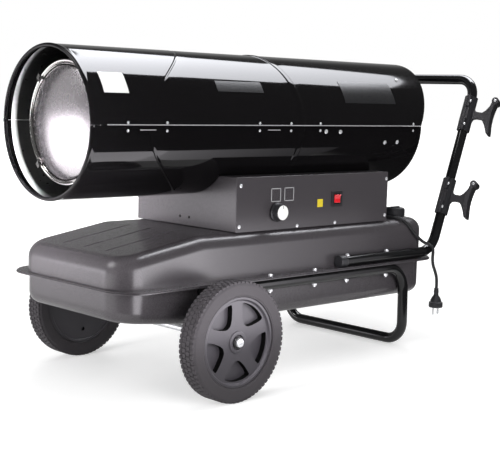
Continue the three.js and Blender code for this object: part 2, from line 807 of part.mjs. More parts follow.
function fuelStrainer() {
  return revolve('z', [
    [tankTopZ - 62, 0], [tankTopZ - 62, 15.4], [tankTopZ + 11 + gap, 16.9],
    [tankTopZ + 11 + gap, 20], [tankTopZ + 12.5, 20], [tankTopZ + 12.5, 15.6],
    [tankTopZ - 60.5, 14.2], [tankTopZ - 60.5, 0],
  ], 16).translate(fillerX, fillerY, 0);
}

function fillerCap() {
  const low = tankTopZ + 3.5;
  const top = low + capHeight;
  const shell = revolve('z', [
    [low, 21.7], [low, capRadius], [top - 3, capRadius], [top, capRadius - 3], [top, 0],
    [top - 3.6, 0], [top - 3.6, 21.7], [low, 21.7],
  ], 24);
  const grips = [];
  for (let i = 0; i < 12; i += 1) {
    const angle = 2 * Math.PI * i / 12;
    grips.push(rod('z', low - 2, top - 4, 1.7, 4).translate(
      (capRadius + 0.5) * Math.cos(angle), (capRadius + 0.5) * Math.sin(angle), 0));
  }
  const bar = block(-16, 16, -3.5, 3.5, top - 0.5, top + 3);
  return join(cut(shell, ...grips), bar).translate(fillerX, fillerY, 0);
}

function drainPlug() {
  const shank = rod('z', tankBottomZ - 1, tankBottomZ + 8, 7, 14);
  const head = rod('z', tankBottomZ - 7, tankBottomZ - gap, 11, 6);
  return join(shank, head).translate(330, 0, 0);
}

function pickupFilter() {
  return rod('z', tankBottomZ + 6, tankBottomZ + 46, 17, 14).translate(520, 40, 0);
}

part('filler_neck', fillerNeck(), bareSteel);
part('fuel_strainer', fuelStrainer(), bareSteel);
part('filler_cap', fillerCap(), blackPlastic);
part('drain_plug', drainPlug(), bareSteel);
part('fuel_pickup_filter', pickupFilter(), bareSteel);

// ---------------------------------------------------------------- trolley frame and handle

const leanSlope = Math.tan(THREE.MathUtils.degToRad(handleLean));
const handleTopZ = armZ + (handleTopX - handleFootX) / leanSlope;

function handle() {
  const half = [
    [armFrontX, armZ], [handleFootX, armZ], [handleTopX, handleTopZ],
  ];
  const corners = [
    ...half.map(([x, z]) => new THREE.Vector3(x, -tubeY, z)),
    ...half.map(([x, z]) => new THREE.Vector3(x, tubeY, z)).reverse(),
  ];
  return tubeAlong(roundedRoute(corners, [60, 50, 50, 60]), tubeRadius, 12);
}

function handleEndCap(side) {
  const cap = revolve('x', [
    [armFrontX - 4, 0], [armFrontX - 4, tubeRadius + 0.6], [armFrontX - 2.5, tubeRadius + 2],
    [armFrontX + 18, tubeRadius + 2], [armFrontX + 18, tubeRadius + gap],
    [armFrontX - gap, tubeRadius + gap], [armFrontX - gap, 0],
  ], 16).translate(0, side * tubeY, armZ);
  const underside = block(armFrontX - 10, armFrontX + 30, side * tubeY - 20, side * tubeY + 20,
    flangeTopZ - 20, flangeTopZ + gap);
  const wallSide = side * (tubeY - tubeRadius);
  const inner = block(armFrontX - 10, armFrontX + 30, Math.min(wallSide, wallSide - side * 9),
    Math.max(wallSide, wallSide - side * 9), flangeTopZ - 20, armZ + 30);
  return cut(cap, underside, inner);
}

// The frame is bent from one tube: two side rails under the tank flange, two legs and the
// foot that the heater rests on. Its route is given in the frame of the whole heater so that
// the foot lies flat on the ground.
function legFrame() {
  const footZ = tubeRadius * Math.cos(Math.PI / 12);
  const top = standing(legX, 0, sideTubeZ);
  const corners = [];
  for (const side of [-1, 1]) {
    const front = standing(sideTubeFrontX, side * tubeY, sideTubeZ);
    const bend = new THREE.Vector3(top.x, side * tubeY, top.z);
    const foot = new THREE.Vector3(top.x, side * tubeY, footZ);
    if (side < 0) corners.push(front, bend, foot);
    else corners.push(foot, bend, front);
  }
  return tubeAlong(roundedRoute(corners, [60, 48, 48, 60]), tubeRadius, 12);
}

part('leg_frame', legFrame(), tubeBlack, heater);
part('handle', handle(), tubeBlack);
part('handle_end_cap_near', handleEndCap(-1), blackPlastic);
part('handle_end_cap_far', handleEndCap(1), blackPlastic);

// Cord hooks: a half sleeve on the rear of the upright, a neck and a head with curled ends.
// Drawn upright about the tube's centre line and then leant back with it.
function onUpright(geometry, height) {
  const x = handleFootX + (height - armZ) * leanSlope;
  return geometry.rotateZ(-THREE.MathUtils.degToRad(hookTurn)).rotateY(THREE.MathUtils.degToRad(handleLean)).translate(x, -tubeY, height);
}

function sleeveOutline(side) {
  const outer = tubeRadius + 4.2;
  const inner = tubeRadius + gap;
  const split = 0.4;
  const lug = 24;
  return [
    [side * split, -lug], [side * 5, -lug], [side * 6.5, -17],
    ...arc(0, 0, outer, -66, 66, 8).map(([x, y]) => [side * x, y]),
    [side * 6.5, 17], [side * 5, lug], [side * split, lug],
    ...arc(0, 0, inner, 88, -88, 10).map(([x, y]) => [side * x, y]),
  ];
}

function halfSleeve(side) {
  const shape = new THREE.Shape(sleeveOutline(side).map(([x, y]) => new THREE.Vector2(x, y)));
  const geometry = new THREE.ExtrudeGeometry(shape, { depth: hookLength, bevelEnabled: false });
  const lugLength = 30;
  const waist = [[-40, -17], [17, 40]].map(([from, to]) => block(-30, 30, from, to,
    lugLength, hookLength - lugLength));
  return cut(geometry, ...waist).translate(0, 0, -hookLength / 2);
}

function cordHook(height) {
  const upperEdge = [
    [14, 20], [20, 11], [30, 8.5], [hookReach - 24, 8.5], [hookReach - 14, 15],
    [hookReach - 7, 26], [hookReach - 1, 38],
  ];
  const lowerEdge = upperEdge.map(([x, z]) => [x, -z]).reverse();
  const neck = plateY([...lowerEdge, ...upperEdge], -5, 5);
  const headInner = [];
  const headOuter = [];
  for (let i = 0; i <= 8; i += 1) {
    const u = -46 + 92 * i / 8;
    const curl = 7 * (u / 46) ** 2;
    const half = i === 0 || i === 8 ? 3 : 5;
    headInner.push([hookReach + curl - half, u]);
    headOuter.push([hookReach + curl + half, u]);
  }
  const head = plateY([...headInner, ...headOuter.reverse()], -12, 12);
  const knob = rod('y', -12, 12, 9, 12).translate(hookReach + 7, 0, 42);
  return onUpright(join(halfSleeve(1), neck, head, knob), height);
}

hookHeights.forEach((height, i) => {
  const place = i === 0 ? 'lower' : 'upper';
  part(`cord_hook_${place}`, cordHook(height), blackPlastic);
  part(`hook_clamp_${place}`, onUpright(halfSleeve(-1), height), blackPlastic);
});

// ---------------------------------------------------------------- wheels and axle

function axleBracket(side) {
  const y = side * (tubeY + tubeRadius + 3);
  const strap = plateY([
    [-30, sideTubeZ + 8], [30, sideTubeZ + 8], [34, sideTubeZ - 10], [16, wheelRadius - 12],
    [-16, wheelRadius - 12], [-34, sideTubeZ - 10],
  ], y - 2, y + 2);
  const bore = rod('y', y - 5, y + 5, axleRadius + gap, 16).translate(0, 0, wheelRadius);
  return cut(strap, bore);
}

part('axle_bracket_near', axleBracket(-1), tubeBlack);
part('axle_bracket_far', axleBracket(1), tubeBlack);

const axleLength = 2 * (wheelCentreY + wheelWidth / 2) - 8;
part('axle', rod('y', -axleLength / 2, axleLength / 2, axleRadius, 16)
  .translate(0, 0, wheelRadius), zincPlate, heater);

// A row of tread blocks, its outline like a coarse gear.
function treadRow(from, to, offset) {
  const pitch = 360 / treadBlocks;
  const outline = [];
  const halfBlock = pitch * 0.3;
  const flatOnGround = wheelRadius / Math.cos(THREE.MathUtils.degToRad(halfBlock));
  const top = offset === 0 ? flatOnGround : wheelRadius;
  for (let i = 0; i < treadBlocks; i += 1) {
    const centre = -90 + (i + offset) * pitch;
    outline.push(...arc(0, 0, top, centre - halfBlock, centre + halfBlock, 1));
    outline.push(...arc(0, 0, wheelRadius - treadDepth, centre + halfBlock + 0.6,
      centre + pitch - halfBlock - 0.6, 1));
  }
  return plateY(outline, from, to);
}

function tyre() {
  const half = wheelWidth / 2;
  const treadFloor = wheelRadius - treadDepth - 1;
  const core = revolve('y', [
    [-half + 2.5, rimRadius + gap], [-half, rimRadius + 5], [-half, wheelRadius - 10],
    [-half + 2.5, treadFloor], [half - 2.5, treadFloor], [half, wheelRadius - 10],
    [half, rimRadius + 5], [half - 2.5, rimRadius + gap], [-half + 2.5, rimRadius + gap],
  ], wheelFacets);
  const rows = [treadRow(-half + 3, -1.5, 0), treadRow(1.5, half - 3, 0.5)];
  const bore = rod('y', -half + 1, half - 1, wheelRadius - 12, 12);
  return join(core, cut(rows[0], bore), cut(rows[1], bore));
}

// The disc is flat on the inside of the trolley and has five deep pockets on the outside.
function wheelDisc(side) {
  const half = wheelWidth / 2;
  const disc = revolve('y', [
    [-half + 5, hubBore], [-half + 5, 21], [-half + 8.5, 24], [-half + 8.5, rimRadius - 9],
    [-half + 3, rimRadius - 4], [-half + 3, rimRadius - gap], [half - 3, rimRadius - gap],
    [half - 3, rimRadius - 5], [half - 6, rimRadius - 7], [half - 6, 20], [half - 2, 18],
    [half - 2, hubBore], [-half + 5, hubBore],
  ], wheelFacets);
  const pockets = [];
  for (let i = 0; i < 5; i += 1) {
    const pocket = [
      ...arc(0, 0, 78, -25, 25, 4), ...arc(0, 0, 40, 13, -13, 2),
    ];
    const tool = plateY(pocket, -half + 1, -half + 20);
    pockets.push(tool.rotateY(THREE.MathUtils.degToRad(72 * i + 18)));
  }
  const geometry = cut(disc, ...pockets);
  return side > 0 ? geometry.rotateZ(Math.PI) : geometry;
}

for (const side of [-1, 1]) {
  const place = side < 0 ? 'near' : 'far';
  const wheel = new THREE.Group();
  wheel.position.set(0, side * wheelCentreY, wheelRadius);
  part(`tyre_${place}`, tyre(), tyreRubber, wheel);
  part(`wheel_disc_${place}`, wheelDisc(side), discPlastic, wheel);
  heater.add(wheel);
  const outward = wheelCentreY + wheelWidth / 2;
  const clip = revolve('y', [
    [0, 0], [0, 10], [1.6, 12.5], [3, 12.5], [3, axleRadius + 4], [8.5, axleRadius + 3],
    [8.5, 0],
  ], 12);
  const placed = side < 0 ? clip.rotateX(Math.PI) : clip;
  part(`axle_cap_${place}`, placed.translate(0, side * (outward - 4 + gap), wheelRadius),
    zincPlate, heater);
}

// ---------------------------------------------------------------- hoses inside the housing

const fuelHoseRoute = [
  [chamberRearX + 57, 0, barrelAxisZ], [chamberRearX + 74, 0, barrelAxisZ],
  [chamberRearX + 96, 8, barrelAxisZ - 22], [chamberRearX + 98, 14, barrelAxisZ - 70],
  [chamberRearX + 98, 14, barrelAxisZ - 130],
];
const airHoseRoute = [
  [610, 0, barrelAxisZ + 62 + gap], [610, 0, barrelAxisZ + 78], [604, 20, barrelAxisZ + 96],
  [592, 50, barrelAxisZ + 104], [560, 80, barrelAxisZ + 100],
];

function hose(route, radius, steps) {
  return tubeAlong(smoothRoute(route, steps), radius, 6);
}

part('fuel_hose', hose(fuelHoseRoute, 3.5, 10), cordRubber);
part('air_hose', hose(airHoseRoute, 3.5, 10), cordRubber);

// ---------------------------------------------------------------- mains cord
// The cord leaves the gland, drops into a flat coil put away on the tank behind the control
// box, and comes out across the tank and over the handle arm, where its plug hangs.

const cordZ = tankTopZ + gap + cordRadius;

// The coil winds inwards in the upper layer, drops a layer where it turns back, and winds
// outwards in the lower one.
function coilRoute() {
  const turns = coilFullTurns + (coilEnd - coilStart) / 360;
  const stepsPerTurn = 24;
  const steps = Math.round(turns * stepsPerTurn);
  const outerRadius = coilMeanRadius + cordPitch * turns / 4;
  const route = [];
  for (let i = 0; i <= steps; i += 1) {
    const turned = turns * i / steps;
    const fromMiddle = turned - turns / 2;
    const radius = outerRadius - cordPitch * (turns / 2 - Math.abs(fromMiddle));
    const lowered = THREE.MathUtils.smoothstep(fromMiddle, -0.25, 0.25);
    const angle = THREE.MathUtils.degToRad(coilStart) + 2 * Math.PI * turned;
    route.push(new THREE.Vector3(
      coilCentre[0] + radius * Math.cos(angle),
      coilCentre[1] + radius * Math.sin(angle),
      cordZ + cordPitch * (1 - lowered)));
  }
  return route;
}

function leastGap(route, diameter, neighbours) {
  let least = Infinity;
  route.forEach((point, i) => {
    for (let j = i + neighbours; j < route.length; j += 1) {
      least = Math.min(least, point.distanceTo(route[j]) - diameter);
    }
  });
  return least;
}

function routeLength(route) {
  return route.slice(1).reduce((sum, point, i) => sum + point.distanceTo(route[i]), 0);
}

const coil = coilRoute();
// A point on the coil's first or last straight, the given distance beyond its end face.
function beyondStart(distance) {
  const run = coil[0].clone().sub(coil[1]).normalize();
  return coil[0].clone().addScaledVector(run, distance).toArray();
}

function beyondEnd(distance) {
  const [before, last] = coil.slice(-2);
  const run = last.clone().sub(before).normalize();
  return last.clone().addScaledVector(run, distance).toArray();
}

const leadInRoute = smoothRoute([
  [boxRearX + 26 + gap, glandY, glandZ], [boxRearX + 34, glandY, glandZ],
  [boxRearX + 45, glandY, glandZ - 2], [boxRearX + 58, glandY + 1, glandZ - 8],
  beyondStart(14), beyondStart(gap),
], 9);
const leadOutRoute = smoothRoute([
  beyondEnd(gap), beyondEnd(14), [609, 10, cordZ], [620, -34, cordZ], [629, -78, cordZ],
  [635, -116, cordZ], [638, -140, cordZ], [645, -157, cordZ], [653, -168, 330],
  [661, -177, 322], [669, -183.5, 311], [680, -188.5, 297], [694, -193.5, 283],
  [709, -200, 271], [719, -206.5, 266.5],
  [725, -214.5, 259], [725, -217, 246], [724, -217, 232], [729, -216, 214], [739, -215, 198],
  [746, -215, 182], [748, -215, 166], [748, -215, 154],
], 40);

part('cord_lead_in', tubeAlong(leadInRoute, cordRadius, 6), cordRubber);
part('cord_coil', tubeAlong(coil, cordRadius, 6), cordRubber);
part('cord_lead_out', tubeAlong(leadOutRoute, cordRadius, 6), cordRubber);

function plug() {
  const top = 154 - gap;
  const grip = revolve('z', [
    [top, 0], [top, 6], [top - 14, 8], [top - 22, 12], [top - 34, 13.5], [top - 36, 17],
    [top - 48, 17.5], [top - 48, 0],
  ], 16);
  const pins = [-9.5, 9.5].map((x) => rod('z', top - 67, top - 46, 2.4, 8).translate(x, 0, 0));
  return join(grip, ...pins).translate(748, -215, 0);
}

part('plug', plug(), blackPlastic);

console.log(`coil: least gap to itself ${leastGap(coil, 2 * cordRadius, 12).toFixed(2)} mm`);
console.log(`cord length ${(routeLength(leadInRoute) + routeLength(coil)
  + routeLength(leadOutRoute)).toFixed(0)} mm`);

// ---------------------------------------------------------------- origin under the middle

const cordNames = ['cord_lead_in', 'cord_coil', 'cord_lead_out', 'plug'];
heater.updateMatrixWorld(true);
const extent = new THREE.Box3();
heater.traverse((object) => {
  if (object.isMesh && !cordNames.includes(object.name)) extent.expandByObject(object, true);
});
const middle = extent.getCenter(new THREE.Vector3());
heater.position.set(-middle.x, -middle.y, -extent.min.z);
console.log(`axle lies at x = ${(-middle.x).toFixed(2)}, z = ${(wheelRadius - extent.min.z).toFixed(2)} mm`);

export default heater;
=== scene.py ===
import json
import math

import bmesh
import bpy
from mathutils import Matrix, Vector


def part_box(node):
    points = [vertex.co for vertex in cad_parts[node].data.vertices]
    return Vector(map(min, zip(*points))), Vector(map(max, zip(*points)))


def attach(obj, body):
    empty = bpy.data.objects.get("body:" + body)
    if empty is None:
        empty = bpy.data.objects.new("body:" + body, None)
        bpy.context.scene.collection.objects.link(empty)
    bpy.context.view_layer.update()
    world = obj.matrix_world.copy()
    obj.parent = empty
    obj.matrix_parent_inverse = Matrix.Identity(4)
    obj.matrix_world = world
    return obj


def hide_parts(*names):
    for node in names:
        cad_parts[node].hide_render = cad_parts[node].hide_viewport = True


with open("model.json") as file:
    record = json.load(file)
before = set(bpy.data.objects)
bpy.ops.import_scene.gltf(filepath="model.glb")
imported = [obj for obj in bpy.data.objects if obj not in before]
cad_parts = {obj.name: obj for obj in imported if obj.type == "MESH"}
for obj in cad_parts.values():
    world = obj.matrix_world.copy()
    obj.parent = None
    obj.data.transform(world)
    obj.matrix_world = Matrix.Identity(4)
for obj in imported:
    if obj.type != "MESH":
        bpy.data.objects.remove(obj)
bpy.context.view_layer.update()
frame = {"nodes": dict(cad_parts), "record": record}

print("frame loaded")

mm = 0.001
axleLow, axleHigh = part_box("axle")
axleCentre = (axleLow + axleHigh) / 2
wheelRadius = 125 * mm
leanBack = math.radians(1.57)    # the whole body leans back about the axle
bodyPlace = (Matrix.Translation(axleCentre) @ Matrix.Rotation(leanBack, 4, "Y")
             @ Matrix.Translation((0, 0, -wheelRadius)))
groundPlace = Matrix.Translation((axleCentre.x, 0, 0))
origin = Vector((0, 0, 0))


def at(x, y, z):
    return Vector((x, y, z)) * mm


# camera: the photograph's own view, measured from the axle on the ground
camera = {
    "place": (-1531.6, -1929.1, 659.3),
    "yaw": 43.576,
    "pitch": 7.473,
    "roll": 0.4145,
    "lens": 81.74,
    "sensor": 36.0,
}


def addCamera(values):
    yaw = math.radians(values["yaw"])
    pitch = math.radians(values["pitch"])
    roll = math.radians(values["roll"])
    ahead = Vector((math.sin(yaw) * math.cos(pitch), math.cos(yaw) * math.cos(pitch), -math.sin(pitch)))
    side = Vector((math.cos(yaw), -math.sin(yaw), 0))
    above = side.cross(ahead)
    right = math.cos(roll) * side + math.sin(roll) * above
    up = -math.sin(roll) * side + math.cos(roll) * above
    data = bpy.data.cameras.new("camera")
    data.lens = values["lens"]
    data.sensor_width = values["sensor"]
    data.clip_end = 60
    obj = bpy.data.objects.new("camera", data)
    bpy.context.scene.collection.objects.link(obj)
    turn = Matrix((right, up, -ahead)).transposed().to_4x4()
    obj.matrix_world = Matrix.Translation(groundPlace @ at(*values["place"])) @ turn
    bpy.context.scene.camera = obj


addCamera(camera)
print("camera set")


def addNode(tree, kind, **sockets):
    node = tree.nodes.new(kind)
    for socket, value in sockets.items():
        node.inputs[socket.replace("_", " ")].default_value = value
    return node


def ramp(tree, source, start, end, low, high, kind="SMOOTHSTEP"):
    node = addNode(tree, "ShaderNodeMapRange", From_Min=start, From_Max=end, To_Min=low, To_Max=high)
    node.interpolation_type = kind
    tree.links.new(source, node.inputs["Value"])
    return node.outputs["Result"]


def feed(tree, socket, value):
    # a value is set, another node's output is linked
    if isinstance(value, bpy.types.NodeSocket):
        tree.links.new(value, socket)
    else:
        socket.default_value = value


def blend(tree, factor, first, second, kind="RGBA"):
    node = tree.nodes.new("ShaderNodeMix")
    node.data_type = kind
    for name, value in (("Factor", factor), ("A", first), ("B", second)):
        feed(tree, node.inputs[name], value)
    return node.outputs["Result"]


def coordinates(tree, kind):
    where = tree.nodes.new("ShaderNodeTexCoord").outputs[kind]
    parts = tree.nodes.new("ShaderNodeSeparateXYZ")
    tree.links.new(where, parts.inputs["Vector"])
    return where, parts.outputs


def objectPattern(tree, scale, stretch, detail):
    place = tree.nodes.new("ShaderNodeTexCoord")
    mapping = addNode(tree, "ShaderNodeMapping", Scale=stretch)
    tree.links.new(place.outputs["Object"], mapping.inputs["Vector"])
    noise = addNode(tree, "ShaderNodeTexNoise", Scale=scale, Detail=detail)
    tree.links.new(mapping.outputs["Vector"], noise.inputs["Vector"])
    return noise.outputs["Fac"]


def paintedShadeInward(tree, colour, start, end):
    # painted shade: a colour that goes to black along X, darker deeper inside
    where, parts = coordinates(tree, "Object")
    depth = ramp(tree, parts["X"], start, end, 0, 1, "LINEAR")
    return blend(tree, depth, colour, (0.004, 0.004, 0.004, 1))


def makeFinish(name, look):
    material = bpy.data.materials.new(name)
    material.use_nodes = True
    tree = material.node_tree
    shader = tree.nodes["Principled BSDF"]
    shader.inputs["Metallic"].default_value = look.get("metal", 0)
    shader.inputs["Specular IOR Level"].default_value = look.get("specular", 0.5)
    shader.inputs["Coat Weight"].default_value = look.get("coat", 0)
    shader.inputs["Coat Roughness"].default_value = 0.05
    tintRange = look.get("tintRange", 0.12)
    dark = [c * (1 - tintRange) for c in look["colour"]]
    light = [c * (1 + tintRange) for c in look["colour"]]
    broad = objectPattern(tree, look.get("broadScale", 9), (1, 1, 1), 3.0)
    colour = blend(tree, broad, (*dark, 1), (*light, 1))
    # painted shade: the colour goes to black along X where the look asks for it
    if "paintedShadeX" in look:
        colour = paintedShadeInward(tree, colour, *look["paintedShadeX"])
    tree.links.new(colour, shader.inputs["Base Color"])
    fine = objectPattern(tree, look["grainScale"], look.get("stretch", (1, 1, 1)), 2.0)
    roughnessRange = look.get("roughnessRange", 0.15)
    low = look["roughness"] * (1 - roughnessRange)
    high = look["roughness"] * (1 + roughnessRange)
    tree.links.new(ramp(tree, fine, 0.3, 0.7, low, high, "LINEAR"), shader.inputs["Roughness"])
    bump = addNode(tree, "ShaderNodeBump", Strength=look["bump"], Distance=look.get("depth", 0.0002))
    tree.links.new(fine, bump.inputs["Height"])
    tree.links.new(bump.outputs["Normal"], shader.inputs["Normal"])
    return material


finishes = {
    "glossBlack": {"colour": (0.0035, 0.0032, 0.0036), "roughness": 0.06, "grainScale": 260, "bump": 0.02,
                   "depth": 0.0001, "specular": 0.2, "broadScale": 5, "roughnessRange": 0.25},
    # galvanised liner inside the mouth, with painted shade that takes it to black deeper in
    "galvanisedWithPaintedShade": {"colour": (0.80, 0.80, 0.82), "roughness": 0.38, "metal": 0.15, "grainScale": 90,
                   "bump": 0.03, "roughnessRange": 0.3, "paintedShadeX": (-0.588, -0.566)},
    "satinGrey": {"colour": (0.046, 0.0415, 0.046), "roughness": 0.28, "grainScale": 900, "bump": 0.12,
                  "depth": 0.0001, "broadScale": 7, "tintRange": 0.06},
    "frameBlack": {"colour": (0.005, 0.005, 0.0055), "roughness": 0.12, "grainScale": 420, "bump": 0.05,
                   "depth": 0.0001, "specular": 0.45},
    "stainless": {"colour": (0.66, 0.64, 0.63), "roughness": 0.16, "metal": 1.0, "grainScale": 260,
                  "stretch": (6, 1, 1), "bump": 0.05, "depth": 0.0001, "roughnessRange": 0.35},
    # light steel for the seam's edge strip and slots: a bare sheet edge and a painted highlight along the
    # seam
    "trimSteelAndHighlight": {"colour": (0.46, 0.45, 0.47), "roughness": 0.3, "metal": 0.3, "grainScale": 500,
                  "bump": 0.1},
    "dishSteel": {"colour": (0.68, 0.64, 0.67), "roughness": 0.27, "metal": 1.0, "grainScale": 60,
                  "bump": 0.0, "roughnessRange": 0.04, "tintRange": 0.02},
    "bareSteel": {"colour": (0.42, 0.42, 0.43), "roughness": 0.34, "metal": 1.0, "grainScale": 500,
                  "bump": 0.1},
    "zinc": {"colour": (0.76, 0.77, 0.79), "roughness": 0.26, "metal": 0.55, "grainScale": 700, "bump": 0.12,
             "roughnessRange": 0.3},
    "castAlloy": {"colour": (0.5, 0.5, 0.51), "roughness": 0.45, "metal": 1.0, "grainScale": 800,
                  "bump": 0.4},
    "blackPlastic": {"colour": (0.014, 0.014, 0.016), "roughness": 0.46, "grainScale": 1500, "bump": 0.35,
                     "depth": 0.0001},
    "hookPlastic": {"colour": (0.028, 0.027, 0.030), "roughness": 0.36, "grainScale": 1400, "bump": 0.3,
                    "depth": 0.0001},
    "discPlastic": {"colour": (0.032, 0.029, 0.035), "roughness": 0.5, "grainScale": 900, "bump": 0.3,
                    "depth": 0.00015},
    "tyreRubber": {"colour": (0.036, 0.0325, 0.036), "roughness": 0.72, "grainScale": 700, "bump": 0.45,
                   "specular": 0.35},
    "cordRubber": {"colour": (0.012, 0.012, 0.013), "roughness": 0.55, "grainScale": 1600, "bump": 0.3,
                   "depth": 0.0001},
    "redLens": {"colour": (0.62, 0.012, 0.02), "roughness": 0.18, "grainScale": 400, "bump": 0.03,
                "coat": 0.6},
    "whitePlastic": {"colour": (0.78, 0.78, 0.76), "roughness": 0.35, "grainScale": 900, "bump": 0.1},
    "brass": {"colour": (0.55, 0.38, 0.14), "roughness": 0.3, "metal": 1.0, "grainScale": 600, "bump": 0.1},
    "circuitGreen": {"colour": (0.02, 0.09, 0.05), "roughness": 0.4, "grainScale": 600, "bump": 0.1},
    "labelBlack": {"colour": (0.010, 0.010, 0.011), "roughness": 0.3, "grainScale": 900, "bump": 0.08},
    "labelGrey": {"colour": (0.33, 0.33, 0.34), "roughness": 0.4, "grainScale": 900, "bump": 0.08},
    "palePlate": {"colour": (0.62, 0.62, 0.61), "roughness": 0.35, "grainScale": 900, "bump": 0.05},
    "yellowPlate": {"colour": (0.60, 0.47, 0.02), "roughness": 0.35, "grainScale": 900, "bump": 0.05},
    # painted shade for the wheel disc's pocket walls
    "paintedPocketShade": {"colour": (0.003, 0.003, 0.003), "roughness": 0.7, "specular": 0.05, "grainScale": 900,
                 "bump": 0.2},
    "shadowGap": {"colour": (0.002, 0.002, 0.002), "roughness": 0.8, "grainScale": 300, "bump": 0.1},
}
finish = {name: makeFinish(name, look) for name, look in finishes.items()}

nodeFinish = {
    "gloss_black_paint": "glossBlack", "satin_grey_paint": "satinGrey", "frame_black_paint": "frameBlack",
    "stainless": "stainless", "bare_steel": "bareSteel", "zinc_plate": "zinc", "cast_alloy": "castAlloy",
    "black_plastic": "blackPlastic", "disc_plastic": "discPlastic", "tyre_rubber": "tyreRubber",
    "cord_rubber": "cordRubber", "red_lens": "redLens", "white_ceramic": "whitePlastic",
    "brass_nozzle": "brass", "circuit_green": "circuitGreen",
}
slotOf = {row["node"]: row["material_slot"] for row in frame["record"]["subparts"]}
for nodeName, node in frame["nodes"].items():
    node.data.materials.clear()
    node.data.materials.append(finish[nodeFinish[slotOf[nodeName]]])
print("materials made")


def deselectAll():
    if bpy.context.object and bpy.context.object.mode == "EDIT":
        bpy.ops.object.mode_set(mode="OBJECT")
    bpy.ops.object.select_all(action="DESELECT")


def activate(piece):
    deselectAll()
    piece.select_set(True)
    bpy.context.view_layer.objects.active = piece


def startEdit(piece):
    activate(piece)
    bpy.ops.object.mode_set(mode="EDIT")
    bpy.ops.mesh.select_all(action="SELECT")


def endEdit():
    bpy.ops.object.mode_set(mode="OBJECT")


def pick(piece, kind, test):
    # selects only the vertices, edges or faces that pass the test, in edit mode
    bpy.context.tool_settings.mesh_select_mode = (kind == "verts", kind == "edges", kind == "faces")
    bpy.ops.mesh.select_all(action="DESELECT")
    mesh = bmesh.from_edit_mesh(piece.data)
    for item in getattr(mesh, kind):
        if test(item):
            item.select_set(True)
    bmesh.update_edit_mesh(piece.data)


def addModifier(piece, kind, **settings):
    activate(piece)
    modifier = piece.modifiers.new(kind.lower(), kind)
    for setting, value in settings.items():
        setattr(modifier, setting, value)
    bpy.ops.object.modifier_apply(modifier=modifier.name)


def soften(piece, width, segments=3, angle=30):
    addModifier(piece, "BEVEL", width=width, segments=segments, limit_method="ANGLE",
                angle_limit=math.radians(angle), miter_outer="MITER_ARC")


def smooth(piece, angle=35):
    activate(piece)
    bpy.ops.object.shade_smooth_by_angle(angle=math.radians(angle))
    addModifier(piece, "WEIGHTED_NORMAL", weight=60, keep_sharp=True)


def carve(piece, cutters):
    cutter = joinAll("cutter", cutters)
    addModifier(piece, "BOOLEAN", object=cutter, operation="DIFFERENCE", solver="EXACT")
    bpy.data.objects.remove(cutter)


def drawLine(name, points, closed):
    # a line of points, each extruded from the one before
    deselectAll()
    bpy.ops.mesh.primitive_plane_add(size=mm)
    piece = bpy.context.object
    piece.name = name
    bpy.ops.object.mode_set(mode="EDIT")
    bpy.context.tool_settings.mesh_select_mode = (True, False, False)
    bpy.ops.mesh.select_all(action="SELECT")
    bpy.ops.mesh.merge(type="CENTER")
    bpy.ops.transform.translate(value=points[0])
    for start, end in zip(points, points[1:]):
        bpy.ops.mesh.extrude_vertices_move(TRANSFORM_OT_translate={"value": end - start})
    if closed:
        pick(piece, "verts", lambda vertex: len(vertex.link_edges) == 1)
        bpy.ops.mesh.edge_face_add()
    return piece


def spinLine(name, axis, centre, profile, steps=96, closed=True, start=0.0, turn=2 * math.pi):
    # a profile of (along, radius) in mm, turned about an axis along X, Y or Z
    along = Vector([float(letter == axis) for letter in "xyz"])
    outward = {"x": Vector((0, -1, 0)), "y": Vector((1, 0, 0)), "z": Vector((1, 0, 0))}[axis]
    outward = Matrix.Rotation(start, 3, along) @ outward
    points = [centre + (along * reach + outward * radius) * mm for reach, radius in profile]
    piece = drawLine(name, points, closed)
    bpy.ops.mesh.select_all(action="SELECT")
    bpy.ops.mesh.spin(steps=steps, angle=turn, center=centre, axis=along)
    bpy.ops.mesh.select_all(action="SELECT")
    bpy.ops.mesh.remove_doubles(threshold=1e-6)
    if turn < 2 * math.pi - 0.01 and closed:
        pick(piece, "edges", lambda edge: len(edge.link_faces) == 1)
        bpy.ops.mesh.fill_holes(sides=0)
    bpy.ops.mesh.select_all(action="SELECT")
    bpy.ops.mesh.normals_make_consistent(inside=False)
    endEdit()
    return piece


def plate(name, outline, axis, low, high):
    # a flat outline of (a, b) in mm, raised along an axis from low to high
    deselectAll()
    bpy.ops.mesh.primitive_circle_add(vertices=len(outline), radius=mm, fill_type="NGON")
    piece = bpy.context.object
    piece.name = name
    for vertex, corner in zip(piece.data.vertices, outline):
        place = list(corner)
        place.insert("xyz".index(axis), low)
        vertex.co = at(*place)
    startEdit(piece)
    rise = Vector([(high - low) * mm * (letter == axis) for letter in "xyz"])
    bpy.ops.mesh.extrude_region_move(TRANSFORM_OT_translate={"value": rise})
    bpy.ops.mesh.select_all(action="SELECT")
    bpy.ops.mesh.normals_make_consistent(inside=False)
    endEdit()
    return piece


def block(name, low, high):
    deselectAll()
    bpy.ops.mesh.primitive_cube_add(size=1, location=(low + high) / 2, scale=high - low)
    piece = bpy.context.object
    piece.name = name
    bpy.ops.object.transform_apply(location=True, rotation=True, scale=True)
    return piece


def arc(cx, cy, radius, start, end, steps):
    turns = [math.radians(start + (end - start) * i / steps) for i in range(steps + 1)]
    return [(cx + radius * math.cos(t), cy + radius * math.sin(t)) for t in turns]


def joinAll(name, parts):
    deselectAll()
    for part in parts:
        part.select_set(True)
    bpy.context.view_layer.objects.active = parts[0]
    if len(parts) > 1:
        bpy.ops.object.join()
    parts[0].name = name
    return parts[0]


def copyOf(piece, matrix):
    twin = bpy.data.objects.new(piece.name, piece.data.copy())
    bpy.context.scene.collection.objects.link(twin)
    twin.data.transform(matrix)
    return twin


